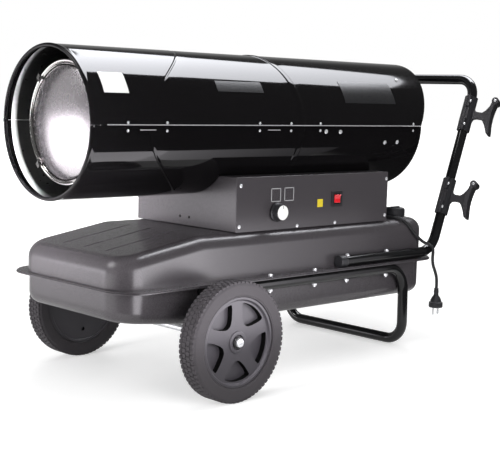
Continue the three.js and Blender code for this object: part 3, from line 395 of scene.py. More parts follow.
def rod(axis, centre, low, high, radius, steps=24):
    line = [(low, 0), (low, radius), (high, radius), (high, 0)]
    return spinLine("rod", axis, centre, line, steps, closed=False)


def paint(piece, look):
    piece.data.materials.clear()
    piece.data.materials.append(finish[look])
    return piece


def settle(piece, name, look, body, stands=(), place=bodyPlace, angle=35):
    # puts a finished piece in the frame and hands it over
    activate(piece)
    piece.data.transform(piece.matrix_world)
    piece.matrix_world = Matrix.Identity(4)
    piece.data.transform(place)
    piece.name = name
    piece.data.name = name
    if look:
        paint(piece, look)
    smooth(piece, angle)
    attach(piece, body)
    if stands:
        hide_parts(*stands)
    return piece


def refined(node, name, width, segments=2, look=None, change=None):
    # a merged copy of a node with its edges rounded
    source = frame["nodes"][node]
    piece = bpy.data.objects.new(name, source.data.copy())
    bpy.context.scene.collection.objects.link(piece)
    startEdit(piece)
    bpy.ops.mesh.remove_doubles(threshold=1e-6)
    bpy.ops.mesh.dissolve_limited(angle_limit=math.radians(0.5))
    endEdit()
    if change:
        for vertex in piece.data.vertices:
            vertex.co = change(vertex.co)
    if width:
        soften(piece, width, segments)
    material = look or nodeFinish[slotOf[node]]
    return settle(piece, name, material, "chassis", [node], Matrix.Identity(4), angle=28)


def tubeAlong(name, route, radius, resolution):
    # a round curve through a route of points in metres
    data = bpy.data.curves.new(name, "CURVE")
    data.dimensions = "3D"
    data.bevel_depth = radius * mm
    data.bevel_resolution = resolution
    data.use_fill_caps = True
    spline = data.splines.new("POLY")
    spline.points.add(len(route) - 1)
    for point, place in zip(spline.points, route):
        point.co = (*place, 1)
    piece = bpy.data.objects.new(name, data)
    bpy.context.scene.collection.objects.link(piece)
    return piece


cordPlan = {
    "radius": 3.75,
    "pitch": 8.2,
    "centre": (656, 60),
    "meanRadius": 40,
    "start": -60,
    "end": 180,
    "fullTurns": 4,
    "gland": (620.8, 6, 355),
    "restHeight": 333.05,
    "plug": (748, -215, 154),
}


def coilPoints(plan):
    turns = plan["fullTurns"] + (plan["end"] - plan["start"]) / 360
    steps = round(turns * 36)
    outer = plan["meanRadius"] + plan["pitch"] * turns / 4
    points = []
    for i in range(steps + 1):
        turned = turns * i / steps
        fromMiddle = turned - turns / 2
        radius = outer - plan["pitch"] * (turns / 2 - abs(fromMiddle))
        share = min(max((fromMiddle + 0.25) / 0.5, 0), 1)
        lowered = share * share * (3 - 2 * share)
        angle = math.radians(plan["start"]) + 2 * math.pi * turned
        height = plan["restHeight"] + plan["pitch"] * (1 - lowered)
        points.append(at(plan["centre"][0] + radius * math.cos(angle),
                         plan["centre"][1] + radius * math.sin(angle), height))
    return points


def smoothRoute(points, steps):
    # centripetal curve through the points, sampled evenly in each span
    ends = [points[0] * 2 - points[1], *points, points[-1] * 2 - points[-2]]
    route = []
    for k in range(1, len(ends) - 2):
        p = ends[k - 1:k + 3]
        knots = [0.0]
        for i in range(3):
            knots.append(knots[-1] + max((p[i + 1] - p[i]).length, 1e-9) ** 0.5)
        for i in range(steps):
            t = knots[1] + (knots[2] - knots[1]) * i / steps
            a = [((knots[j + 1] - t) * p[j] + (t - knots[j]) * p[j + 1]) / (knots[j + 1] - knots[j])
                 for j in range(3)]
            b = [((knots[j + 2] - t) * a[j] + (t - knots[j]) * a[j + 1]) / (knots[j + 2] - knots[j])
                 for j in range(2)]
            route.append(((knots[2] - t) * b[0] + (t - knots[1]) * b[1]) / (knots[2] - knots[1]))
    route.append(ends[-2])
    return route


def cordRoute(plan):
    coil = coilPoints(plan)
    intoCoil = (coil[0] - coil[1]).normalized()
    outOfCoil = (coil[-1] - coil[-2]).normalized()
    x, y, z = plan["gland"]
    low = plan["restHeight"]
    leadIn = [at(x, y, z), at(x + 8, y, z), at(x + 19, y, z - 2), at(x + 32, y + 1, z - 8),
              coil[0] + intoCoil * 14 * mm, coil[0]]
    leadOut = [coil[-1], coil[-1] + outOfCoil * 14 * mm, at(609, 10, low), at(620, -34, low),
               at(629, -78, low), at(635, -116, low), at(638, -140, low), at(645, -157, low),
               at(653, -168, 330), at(661, -177, 322), at(669, -183.5, 311), at(680, -188.5, 297),
               at(694, -193.5, 283), at(709, -200, 271), at(719, -206.5, 266.5), at(725, -214.5, 259),
               at(725, -217, 246), at(724, -217, 232), at(729, -216, 214), at(739, -215, 198),
               at(746, -215, 182), at(748, -215, 166), at(*plan["plug"])]
    return smoothRoute(leadIn, 4)[:-1] + coil + smoothRoute(leadOut, 4)[1:]


def makeCord(plan):
    route = [bodyPlace @ point for point in cordRoute(plan)]
    cord = tubeAlong("mains_cord", route, plan["radius"], 5)
    cord.data.materials.append(finish["cordRubber"])
    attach(cord, "chassis")
    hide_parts("cord_lead_in", "cord_coil", "cord_lead_out")
    length = sum((b - a).length for a, b in zip(route, route[1:]))
    return cord, route[0], length


def makePlug(plan):
    centre = at(plan["plug"][0], plan["plug"][1], 0)
    top = plan["plug"][2] - 0.3    # just clear of the cord's end
    sleeve = [(top, 0), (top, 5.2), (top - 1, 6)]
    sleeve += [(top - 3 - 5 * i, 6.3 if i % 2 else 5.6) for i in range(4)]
    shoulder = [(top - 20, 8)]
    shoulder += [(top - 22 - 12 * t, 9.5 + 4.6 * math.sin(t * math.pi / 2)) for t in (0, 0.3, 0.6, 1)]
    grip = [(top - 35, 16.6), (top - 36.5, 17.4), (top - 46.5, 17.5), (top - 48, 16.6), (top - 48, 0)]
    body = paint(spinLine("plug", "z", centre, sleeve + shoulder + grip, 48, closed=False), "blackPlastic")
    pinLine = [(top - 46, 0), (top - 46, 2.4), (top - 65, 2.4), (top - 67, 1.2), (top - 67, 0)]
    pins = [paint(spinLine("pin", "z", centre + at(side, 0, 0), pinLine, 20, closed=False), "zinc")
            for side in (-9.5, 9.5)]
    return settle(joinAll("plug", [body, *pins]), "mains_plug", None, "chassis", ["plug"])


cord, cordExit, cordLength = makeCord(cordPlan)
plugPiece = makePlug(cordPlan)
print("cord laid, length", round(cordLength, 3))


barrel = {
    "radius": 156.6,
    "sheet": 1.5,
    "axisZ": 557.5,
    "frontX": -274.7,
    "rearX": 734,
    "rearLean": 64,
    "creaseX": -132,
    "creaseSweep": 167,
    "beadX": 304,
    "beadSweep": -28,
    "brightDepthX": -205,
    "seamGap": 0.0022,    # radians left open at each side of a shell
    "steps": 110,
}
axis = at(0, 0, barrel["axisZ"])


def barrelProfile(values):
    # front lip, pressed step, bead and rear rim, then back along the inside
    r = values["radius"]
    crease = values["creaseX"]
    bead = values["beadX"]
    front = values["frontX"]
    rear = values["rearX"]
    inside = r - values["sheet"]
    lip = arc(front + 4.4, r - 2.9, 4.3, 262, 90, 12)
    outer = [(front + 6.8, r + 1.2), (front + 9.5, r + 0.5), (front + 14, r + 0.4), (front + 40, r + 0.4),
             (crease - 40, r + 0.4), (crease - 4, r + 0.4), (crease - 2.4, r + 0.1), (crease - 0.8, r - 1.3),
             (crease + 0.8, r - 1.6), (crease + 4, r - 1.1), (crease + 8, r), (crease + 40, r)]
    outer += [(crease + 40 + (bead - crease - 80) * i / 5, r) for i in range(1, 5)]
    ridge = [(30, 0), (9, 0), (7.6, 0.3), (6.4, 1.4), (5, 1.6)]
    outer += [(bead - along, r + height) for along, height in ridge]
    outer += [(bead + along, r + height) for along, height in reversed(ridge)]
    outer += [(bead + 30 + (rear - bead - 30) * i / 6, r) for i in range(1, 6)]
    outer += [(rear - 1.2, r), (rear, r - 0.4)]
    inner = [(rear, inside), (bead + 20, inside), (bead - 20, inside), (crease + 20, inside),
             (crease, inside - 1.7), (crease - 20, inside), (values["brightDepthX"], inside),
             (front + 19, inside), (front + 9, inside - 1.2)]
    return lip + outer + inner


def sweptPlaces(values, up):
    # pairs of X along the profile and X on the barrel, up from -1 at its foot to 1 at its top
    front = values["frontX"] + 20
    crease = values["creaseX"]
    bead = values["beadX"]
    creaseMove = values["creaseSweep"] * up * up
    beadMove = values["beadSweep"] * up * up
    return [(front, front), (crease - 30, crease - 30 + creaseMove), (crease + 30, crease + 30 + creaseMove),
            (bead - 30, bead - 30 + beadMove), (bead + 30, bead + 30 + beadMove),
            (values["rearX"], values["rearX"] + values["rearLean"] * up)]


def sweepShell(piece, values):
    # leans the crease, the bead and the rear edge round the barrel
    for vertex in piece.data.vertices:
        x = vertex.co.x / mm
        height = vertex.co.z / mm - values["axisZ"]
        marks = sweptPlaces(values, height / math.hypot(vertex.co.y / mm, height))
        if x <= marks[0][0]:
            continue
        for (x0, new0), (x1, new1) in zip(marks, marks[1:]):
            if x0 <= x <= x1 + 1e-6:
                vertex.co.x = (new0 + (new1 - new0) * (x - x0) / (x1 - x0)) * mm
                break


def makeShells(values):
    gap = values["seamGap"]
    for name, node, start in (("upperShell", "upper_shell", 0), ("lowerShell", "lower_shell", math.pi)):
        # the upper sheet runs from the near side over the top, the lower one from the far side below
        shell = spinLine(name, "x", axis, barrelProfile(values), values["steps"],
                         start=-gap - start, turn=math.pi - 2 * gap)
        paint(shell, "glossBlack").data.materials.append(finish["galvanisedWithPaintedShade"])
        # painted shade: the mouth's inner wall up to brightDepthX takes the galvanised liner, whose colour
        # goes to black inwards
        for face in shell.data.polygons:
            middle = face.center / mm
            reach = math.hypot(middle.y, middle.z - values["axisZ"])
            if values["frontX"] + 19 < middle.x < values["brightDepthX"] and reach < values["radius"] - 1:
                face.material_index = 1
        sweepShell(shell, values)
        settle(shell, name, None, "chassis", [node], angle=40)


seam = {"frontX": -268, "stripFrontX": -237, "rearX": 726, "lowZ": 553.6, "edgeZ": 557.4, "topZ": 559.4,
        "screwX": (-187, -88, 171, 268, 363, 701), "screwAngles": (1.9, -3.9),
        "slots": ((-157, -117), (196, 233)),
        "hoodScrews": ((383, -4.6), (432, -4.8), (599, -14.5), (646, -14.3), (687, 45.9)),
        "plates": (("frontPlate", -236, -176, 23.5, 40.5, "palePlate"),
                   ("sidePlate", 62, 196, 27, 36.5, "labelBlack"),
                   ("rearPlate", 456, 640, 20, 41, "labelBlack"))}


def screwHead(radius, height, drive=True):
    dome = [(-0.6, 0), (-0.6, radius), (height * 0.35, radius), (height * 0.75, radius * 0.8),
            (height, radius * 0.4), (height, 0)]
    head = spinLine("screw", "z", origin, dome, 20, closed=False)
    if drive:
        reach = radius * 0.62
        wide = radius * 0.13
        corner = [(reach, wide), (wide, wide), (wide, reach)]
        cross = []
        for quarter in range(4):
            cross += corner
            corner = [(-b, a) for a, b in corner]
        carve(head, [plate("drive", cross, "z", height * 0.4, height + 1)])
    return paint(head, "zinc")


def onBarrel(x, degrees, radius):
    # stands a piece drawn along +Z on the barrel at an angle above the near side
    return (Matrix.Translation(axis + at(x, 0, 0)) @ Matrix.Rotation(math.radians(90 - degrees), 4, "X")
            @ Matrix.Translation((0, 0, radius * mm)))


def seamBlock(name, side, low, high, inner, outer, look, rounding=0.0):
    # low and high are (x, z), inner and outer the distances from the barrel's middle
    near, far = (inner, outer) if side > 0 else (-outer, -inner)
    piece = block(name, at(low[0], near, low[1]), at(high[0], far, high[1]))
    if rounding:
        soften(piece, rounding * mm, 2)
    return paint(piece, look)


def makeSeam(values):
    v = values
    r = barrel["radius"]
    small = screwHead(3.1, 2.2)
    large = screwHead(5.0, 3.0)
    for side, place in ((-1, "Near"), (1, "Far")):
        parts = [seamBlock("flange", side, (v["frontX"], v["lowZ"]), (v["rearX"], v["edgeZ"]),
                           r - 0.8, r + 2.4, "glossBlack", 0.5),
                 # the edge strip: a bare sheet edge and a painted highlight along the seam
                 seamBlock("edge", side, (v["stripFrontX"], v["edgeZ"] + 0.2), (v["rearX"], v["topZ"]),
                           r - 0.8, r + 2.9, "trimSteelAndHighlight", 0.4),
                 seamBlock("clip", side, (v["frontX"] - 3, 553.2), (v["frontX"] + 5, 561.4),
                           r - 1, r + 6.4, "frameBlack", 1.4)]
        for low, high in v["slots"]:
            parts.append(seamBlock("slot", side, (low, 547.6), (high, 549.2), r - 0.4, r + 0.9, "trimSteelAndHighlight"))
        heads = [(small, x, degrees) for x in v["screwX"] for degrees in v["screwAngles"]]
        heads += [(large, x, degrees) for x, degrees in v["hoodScrews"]]
        for head, x, degrees in heads:
            parts.append(copyOf(head, onBarrel(x, degrees if side < 0 else 180 - degrees, r)))
        settle(joinAll("seam", parts), "seam" + place, None, "chassis")
    bpy.data.objects.remove(small)
    bpy.data.objects.remove(large)


def makePlates(values):
    r = barrel["radius"]
    for name, low, high, start, end, look in values["plates"]:
        profile = [(low, r + 0.3), (low, r + 0.75), (high, r + 0.75), (high, r + 0.3)]
        sheet = spinLine(name, "x", axis, profile, 24, start=-math.radians(start),
                         turn=math.radians(end - start))
        settle(sheet, name, look, "chassis")


makeShells(barrel)
makeSeam(seam)
makePlates(seam)
print("barrel shells made")

outlet = {"frontX": -230, "radius": 128, "dishRadius": 112, "dome": 19}


def makeOutlet(values):
    x = values["frontX"]
    r = values["radius"]
    chamber = spinLine("chamber", "x", axis, [(x + 14, r - 1.5), (x + 14, r), (220, r), (250, r - 26),
                                              (250, r - 28), (219, r - 1.5)], 96)
    settle(chamber, "combustionChamber", "stainless", "chassis", ["combustion_chamber"])
    fold = [(x + 13.7, r - 1.5), (x + 13.7, r), (x + 4, r + 0.9), *arc(x + 3.4, r - 2.4, 3.4, 90, 250, 8),
            (x + 1.4, r - 8.6), (x + 2.4, r - 9.6), (x + 4, r - 9.2), (x + 4.6, r - 3.4)]
    ring = spinLine("ring", "x", axis, fold, 96)
    tabs = []
    for degrees in (45, 135, 225, 315):
        tab = block("tab", at(x - 2.2, -7, 114.5), at(x + 1.2, 7, r + 6))
        soften(tab, 1.0 * mm, 2)
        tab.data.transform(Matrix.Translation(axis) @ Matrix.Rotation(math.radians(degrees), 4, "X"))
        tabs.append(tab)
    settle(joinAll("ring", [ring, *tabs]), "outletRing", "stainless", "chassis", ["outlet_ring"])
    dome = [(x + 1 - values["dome"] * (1 - (i / 14) ** 2), values["dishRadius"] * i / 14) for i in range(15)]
    rim = [(x + 2.4, 114.4), (x + 3, 115.4), (x + 4.6, 115.4), (x + 5, 114)]
    back = [(a + 2.2, b * 0.985) for a, b in reversed(dome)]
    dish = spinLine("dish", "x", axis, dome + rim + back, 96, closed=False)
    settle(dish, "deflectorDish", "dishSteel", "chassis", ["deflector_dish"])


makeOutlet(outlet)
print("outlet made")


guard = {"x": 662, "wire": 1.7, "firstRing": 24, "lastRing": 151.5, "rings": 11, "spokes": 6}


def makeGuard(values):
    centre = axis + at(values["x"], 0, 0)
    parts = [rod("x", centre, -2.2, 2.2, values["firstRing"], 48)]
    for i in range(values["rings"]):
        reach = values["firstRing"] + (values["lastRing"] - values["firstRing"]) * i / (values["rings"] - 1)
        deselectAll()
        bpy.ops.mesh.primitive_torus_add(location=centre, rotation=(0, math.pi / 2, 0), major_segments=84,
                                         minor_segments=8, major_radius=reach * mm,
                                         minor_radius=values["wire"] * mm)
        bpy.ops.object.transform_apply(location=True, rotation=True, scale=True)
        parts.append(bpy.context.object)
    for i in range(values["spokes"]):
        spoke = rod("z", Vector((-2 * mm, 0, 0)), 20, values["lastRing"], 2.0, 10)
        turned = Matrix.Rotation(math.radians(30 + 60 * i), 4, "X")
        spoke.data.transform(Matrix.Translation(centre) @ turned)
        parts.append(spoke)
    settle(joinAll("guard", parts), "rearGuard", "frameBlack", "chassis", ["rear_guard"])


blower = {"motorX": (506, 594), "motorRadius": 52, "fins": 24, "pumpX": (594.3, 626), "pumpRadius": 47,
          "bolts": 6, "coverX": (626.3, 645), "coverRadius": 40}


def makeMotor(values):
    front, rear = values["motorX"]
    r = values["motorRadius"]
    profile = [(front, 0), (front, r - 22), (front + 1.5, r - 16), (front + 4, r - 3), (front + 6, r - 0.6),
               (front + 8, r), (rear - 8, r), (rear - 6, r - 0.6), (rear - 4, r - 3), (rear - 1, r - 16),
               (rear, r - 22), (rear, 0)]
    motor = spinLine("motor", "x", axis, profile, 64, closed=False)
    fins = []
    for i in range(values["fins"]):
        fin = block("fin", at(front + 12, -1.2, r - 1), at(rear - 10, 1.2, r + 2.4))
        turned = Matrix.Rotation(2 * math.pi * i / values["fins"], 4, "X")
        fin.data.transform(Matrix.Translation(axis) @ turned)
        fins.append(fin)
    feet = block("feet", axis + at(front + 16, -34, -62), axis + at(rear - 16, 34, -44))
    motor = joinAll("motor", [motor, feet, *fins])
    settle(motor, "motorBody", "castAlloy", "chassis", ["motor"])


def makePump(values):
    front, rear = values["pumpX"]
    r = values["pumpRadius"]
    profile = [(front, 0), (front, r - 4), (front + 1.7, r - 1.4), (front + 4.7, r), (rear - 5, r),
               (rear - 2, r - 1.4), (rear, r - 5), (rear, 0)]
    pump = paint(spinLine("pump", "x", axis, profile, 64, closed=False), "castAlloy")
    port = paint(rod("z", axis + at(rear - 16, 0, 0), 40, 62, 6, 24), "castAlloy")
    head = screwHead(3.0, 2.2, False)
    upright = Matrix.Translation(at(rear, 0, r - 4)) @ Matrix.Rotation(math.pi / 2, 4, "Y")
    bolts = []
    for i in range(values["bolts"]):
        turned = Matrix.Rotation(2 * math.pi * i / values["bolts"], 4, "X")
        bolts.append(copyOf(head, Matrix.Translation(axis) @ turned @ upright))
    bpy.data.objects.remove(head)
    pump = joinAll("pump", [pump, port, *bolts])
    settle(pump, "airPump", None, "chassis", ["air_pump"])

    front, rear = values["coverX"]
    r = values["coverRadius"]
    profile = [(front, 0), (front, r - 1.5), (front + 0.7, r), (rear - 5, r), (rear - 2, r - 1.4),
               (rear, r - 5), (rear, r / 2), (rear - 3, 18.5), (rear - 3, 8), (rear, 6.5), (rear, 0)]
    cover = spinLine("cover", "x", axis, profile, 64, closed=False)
    settle(cover, "airFilterCover", "blackPlastic", "chassis", ["air_filter_cover"])


makeGuard(guard)
makeMotor(blower)
makePump(blower)
print("blower made")


box = {
    "frontX": 95.5, "rearX": 594.8, "halfWidth": 170, "floorZ": 329.6, "topZ": 448, "sheet": 1.5,
    "knob": (214.5, 369), "rocker": (411, 390.5),
    "screws": ((106.6, 430), (104, 342), (282.4, 334.6), (408.4, 334.9), (588.6, 431.4), (587.3, 343.5)),
    "signs": ((213, 406.5), (254, 407)), "signSize": 15, "signLine": 1.9, "plate": (355.7, 382.5),
}


def makeBox(values):
    v = values
    w = v["halfWidth"]
    t = v["sheet"]
    housing = block("housing", at(v["frontX"], -w + t + 0.3, v["floorZ"]), at(v["rearX"], w, v["topZ"]))
    soften(housing, 1.8 * mm, 3)
    barrelRoom = rod("x", axis, v["frontX"] - 20, v["rearX"] + 20, barrel["radius"] + 2.3, 96)
    inside = block("inside", at(v["frontX"] + t, -w - 5, v["floorZ"] + t),
                   at(v["rearX"] - t, w - t, v["topZ"] - t))
    holes = [rod("x", at(0, y, 349), v["frontX"] - 5, v["frontX"] + 5, 3.2, 24) for y in (16, -15.2)]
    holes.append(rod("x", at(0, 6, 355), v["rearX"] - 8, v["rearX"] + 8, 8.2, 32))
    carve(housing, [barrelRoom, inside])
    carve(housing, holes)
    settle(housing, "controlBox", "satinGrey", "chassis", ["control_box"], angle=25)

    panel = block("panel", at(v["frontX"], -w, v["floorZ"]), at(v["rearX"], -w + t, v["topZ"]))
    soften(panel, 0.6 * mm, 3)
    x, z = v["knob"]
    sx, sz = v["rocker"]
    carve(panel, [rod("y", at(x, 0, z), -w - 5, -w + 5, 6.3, 32),
                  block("window", at(sx - 12.8, -w - 5, sz - 13.3), at(sx + 12.8, -w + 5, sz + 13.3))])
    settle(panel, "controlPanel", "satinGrey", "chassis", ["control_panel"], angle=25)

    head = screwHead(4.2, 2.4)
    parts = []
    for x, z in v["screws"]:
        parts.append(copyOf(head, Matrix.Translation(at(x, -w, z)) @ Matrix.Rotation(math.pi / 2, 4, "X")))
    bpy.data.objects.remove(head)
    settle(joinAll("screws", parts), "panelScrews", None, "chassis")


def makeSigns(values):
    w = values["halfWidth"]
    s = values["signSize"]
    line = values["signLine"]
    edges = (((-s, -s), (s, line - s)), ((-s, s - line), (s, s)), ((-s, -s), (line - s, s)),
             ((s - line, -s), (s, s)))
    frames = []
    for x, z in values["signs"]:
        for low, high in edges:
            frames.append(block("sign", at(x + low[0], -w - 0.35, z + low[1]),
                                at(x + high[0], -w + 0.1, z + high[1])))
    settle(joinAll("signs", frames), "signPlates", "labelGrey", "chassis")
    x, z = values["plate"]
    sheet = block("plate", at(x - 9, -w - 0.4, z - 9), at(x + 9, -w + 0.1, z + 9))
    settle(sheet, "yellowPlate", "yellowPlate", "chassis")


def makeSwitch(values):
    x, z = values["rocker"]
    y = -values["halfWidth"]
    bezel = block("bezel", at(x - 18.5, y - 2.9, z - 18), at(x + 18.5, y - 0.3, z + 18))
    soften(bezel, 1.2 * mm, 3)
    can = block("can", at(x - 12.4, y - 1, z - 12.9), at(x + 12.4, y + 27.5, z + 12.9))
    well = block("well", at(x - 10.6, y - 10, z - 11.6), at(x + 10.6, y + 10, z + 11.6))
    body = joinAll("switch", [bezel, can])
    carve(body, [well])
    settle(body, "switchBezel", "blackPlastic", "chassis", ["switch_body"])
    outline = [(1.8, -9.4), (-2.8, -9.6), (-3.5, -8.8), (-3.3, -3), (-3.6, 2), (-4.6, 6), (-6.2, 8.8),
               (-5.5, 9.7), (1.8, 9.6), (6.5, 5), (6.5, -5)]
    rocker = plate("rocker", [(y + a, z + b) for a, b in outline], "x", x - 10, x + 10)
    soften(rocker, 0.5 * mm, 2)
    settle(rocker, "switchRocker", "redLens", "rocker", ["switch_rocker"])


makeBox(box)
makeSigns(box)
makeSwitch(box)
refined("thermostat_body", "thermostatBody", 0.8 * mm)
refined("ignition_transformer", "ignitionTransformer", 1.5 * mm, 3)
refined("control_board", "controlBoard", 0.4 * mm)

gland = {"y": 6, "z": 355, "wallX": 595.1, "exitX": 620.8, "ribs": 7}


def makeGland(values):
    wall = values["wallX"]
    end = values["exitX"]
    profile = [(wall - 6.3, 4.2), (wall - 6.3, 7.9), (wall, 7.9), (wall, 11.4), (wall + 0.7, 12),
               (wall + 5.9, 12), (wall + 6.7, 11.4), (wall + 7.3, 9), (wall + 8.9, 8.5)]
    profile += [(wall + 9.9 + 2.2 * i, 8.2 - 0.28 * i - (0.5 if i % 2 else 0)) for i in range(values["ribs"])]
    profile += [(end, 5.6), (end, 4.2)]
    sleeve = spinLine("gland", "x", at(0, values["y"], values["z"]), profile, 48)
    settle(sleeve, "cableGland", "blackPlastic", "chassis", ["cable_gland"])


makeGland(gland)

knob = {"x": 214.5, "z": 369, "radius": 19, "panelY": -170}


def makeKnob(values):
    y = values["panelY"] - 3.6
    r = values["radius"]
    centre = at(values["x"], 0, values["z"])
    front = y - 18
    profile = [(y, 0), (y, r + 2.2), (y - 2.2, r + 2.2), (y - 3.4, r + 1), (y - 5, r - 0.2),
               (front + 2.4, r - 1.3), (front + 0.8, r - 1.9), (front, r - 3.4), (front, 0)]
    dial = spinLine("dial", "y", centre, profile, 72, closed=False)
    flutes = []
    for i in range(20):
        angle = 2 * math.pi * (i + 0.5) / 20
        spot = centre + at(math.cos(angle) * (r + 0.5), 0, math.sin(angle) * (r + 0.5))
        flutes.append(rod("y", spot, front - 2, y - 5, 1.4, 10))
    carve(dial, flutes)
    face = spinLine("face", "y", centre, [(front + 0.3, 0), (front + 0.3, r - 3.0), (front - 0.4, r - 3.0),
                                          (front - 0.7, r - 3.6), (front - 0.7, 0)], 48, closed=False)
    pointer = block("pointer", centre + at(-0.6, front - 1.0, 9), centre + at(0.6, front - 0.5, r - 4))
    pieces = [paint(dial, "blackPlastic"), paint(face, "whitePlastic"), paint(pointer, "blackPlastic")]
    settle(joinAll("dial", pieces), "thermostatKnob", None, "knob", ["thermostat_knob"])


makeKnob(knob)
print("control box made")


tank = {
    "frontX": -222, "rearX": 750, "halfWidth": 182.3, "corner": 60, "shoulder": 30,
    "topZ": 329, "bottomZ": 142, "rampEndX": -5, "rampSlope": 0.165, "noseSlope": 0.12,
    "grooveY": (-75, 0, 75), "grooveX": -88, "grooveLength": 182, "grooveRadius": 3.4,
    "flangeFrontX": -235, "flangeRearX": 758, "flangeHalfWidth": 215.8, "flangeCorner": 68,
    "flangeTopZ": 234.1, "flangeMidZ": 231.8, "flangeBottomZ": 229,
}


def isUpright(edge):
    a, b = (vertex.co for vertex in edge.verts)
    return abs(a.x - b.x) < 1e-5 and abs(a.y - b.y) < 1e-5


def atRampEnd(edge):
    return abs(edge.verts[0].co.x - tank["rampEndX"] * mm) < mm


def roundCorners(piece, radius, leaveRamp=False):
    # rounds the upright edges
    startEdit(piece)
    pick(piece, "edges", lambda edge: isUpright(edge) and not (leaveRamp and atRampEnd(edge)))
    bpy.ops.mesh.bevel(offset=radius, segments=12, affect="EDGES")
    endEdit()


def roundRim(piece, radius, sign, segments=10):
    # rounds the edges between the top or bottom faces and the walls
    startEdit(piece)
    pick(piece, "edges", lambda edge: len(edge.link_faces) == 2 and
         sum(face.normal.z * sign > 0.8 for face in edge.link_faces) == 1)
    bpy.ops.mesh.bevel(offset=radius, segments=segments, affect="EDGES")
    endEdit()


def pressedShell(name, values, inset, low, high, slope, sign, radius):
    # a box whose top (sign 1) or bottom (sign -1) slopes towards the other half at the nose
    t = values
    shell = block(name, at(t["frontX"] + inset, -t["halfWidth"] + inset, low),
                  at(t["rearX"] - inset, t["halfWidth"] - inset, high))
    startEdit(shell)
    bpy.ops.mesh.bisect(plane_co=at(t["rampEndX"], 0, 0), plane_no=(1, 0, 0))
    end = (high if sign > 0 else low) * mm
    pick(shell, "verts", lambda vertex: abs(vertex.co.z - end) < mm and vertex.co.x < (t["frontX"] + 4) * mm)
    rise = (t["rampEndX"] - t["frontX"] - inset) * slope
    bpy.ops.transform.translate(value=at(0, 0, -sign * rise))
    endEdit()
    roundCorners(shell, t["corner"] * mm, leaveRamp=True)
    roundRim(shell, radius * mm, sign)
    return shell


def makeTank(values):
    t = values
    upper = pressedShell("tankUpper", t, 0, t["flangeTopZ"] - 1, t["topZ"], t["rampSlope"], 1, t["shoulder"])
    half = t["grooveLength"] / 2
    line = [(-half, 0), (-half + 1.5, t["grooveRadius"]), (half - 1.5, t["grooveRadius"]), (half, 0)]
    height = t["topZ"] - t["rampSlope"] * (t["rampEndX"] - t["grooveX"]) + 1.6
    leaned = Matrix.Rotation(-math.atan(t["rampSlope"]), 4, "Y")
    grooves = []
    for y in t["grooveY"]:
        groove = spinLine("groove", "x", origin, line, 20, closed=False)
        groove.data.transform(Matrix.Translation(at(t["grooveX"], y, height)) @ leaned)
        grooves.append(groove)
    carve(upper, grooves)
    settle(upper, "tankTopShell", "satinGrey", "chassis", ["tank_upper_shell"], angle=40)

    lower = pressedShell("tankLower", t, 1.5, t["bottomZ"], t["flangeBottomZ"] + 1, t["noseSlope"], -1, 24)
    settle(lower, "tankBottomShell", "satinGrey", "chassis", ["tank_lower_shell"],
           angle=40)


def makeFlange(values):
    t = values
    sheets = []
    for low, high, inset in ((t["flangeBottomZ"], t["flangeMidZ"] - 0.1, 0),
                             (t["flangeMidZ"] + 0.5, t["flangeTopZ"], 1.6)):
        sheet = block("flange", at(t["flangeFrontX"] + inset, -t["flangeHalfWidth"] + inset, low),
                      at(t["flangeRearX"] - inset, t["flangeHalfWidth"] - inset, high))
        roundCorners(sheet, t["flangeCorner"] * mm)
        soften(sheet, 0.6 * mm, 2)
        sheets.append(sheet)
    settle(joinAll("flange", sheets), "tankFlange", "satinGrey", "chassis")


makeTank(tank)
makeFlange(tank)

fillerCap = {"x": 672, "y": -133, "low": 332.5, "radius": 24.3, "height": 22}


def makeFillerCap(values):
    low = values["low"]
    r = values["radius"]
    top = low + values["height"]
    centre = at(values["x"], values["y"], 0)
    cap = spinLine("cap", "z", centre, [(low, 21.7), (low, r - 0.8), (low + 1.2, r), (top - 3.4, r - 0.2),
                                        (top - 1.4, r - 1.2), (top, r - 3.4), (top, 0)], 96, closed=False)
    ribs = []
    for i in range(28):
        angle = 2 * math.pi * i / 28
        rib = block("rib", at(r - 1.2, -0.8, low + 1.5), at(r + 0.5, 0.8, top - 4))
        soften(rib, 0.4 * mm, 2)
        rib.data.transform(Matrix.Translation(centre) @ Matrix.Rotation(angle, 4, "Z"))
        ribs.append(rib)
    grip = block("grip", centre + at(-16, -3, top - 0.5), centre + at(16, 3, top + 3))
    soften(grip, 1.2 * mm, 3)
    cap = joinAll("cap", [cap, grip, *ribs])
    settle(cap, "fillerCap", "blackPlastic", "cap", ["filler_cap"])


makeFillerCap(fillerCap)
for node in ("filler_neck", "fuel_strainer", "drain_plug"):
    refined(node, node.split("_")[0] + node.split("_")[1].title(), 0)
print("tank made")


tube = {"radius": 12.5, "y": 195.8, "armZ": 246.9, "armFrontX": 400, "footX": 744, "lean": 20.2, "topX": 903,
        "railZ": 216.2, "railFrontX": -22, "legX": 636}


def bentRoute(corners, radii, steps=14):
    route = [corners[0]]
    for before, corner, after, radius in zip(corners, corners[1:], corners[2:], radii):
        back = (before - corner).normalized()
        on = (after - corner).normalized()
        half = back.angle(on) / 2
        centre = corner + (back + on).normalized() * radius * mm / math.sin(half)
        start = corner + back * radius * mm / math.tan(half) - centre
        end = corner + on * radius * mm / math.tan(half) - centre
        sweep = start.angle(end)
        for k in range(steps + 1):
            route.append(centre + start * (math.sin((1 - k / steps) * sweep) / math.sin(sweep))
                         + end * (math.sin(k / steps * sweep) / math.sin(sweep)))
    return route + [corners[-1]]


def tubeMesh(name, route, radius):
    activate(tubeAlong(name, route, radius, 10))
    bpy.ops.object.convert(target="MESH")
    return bpy.context.object


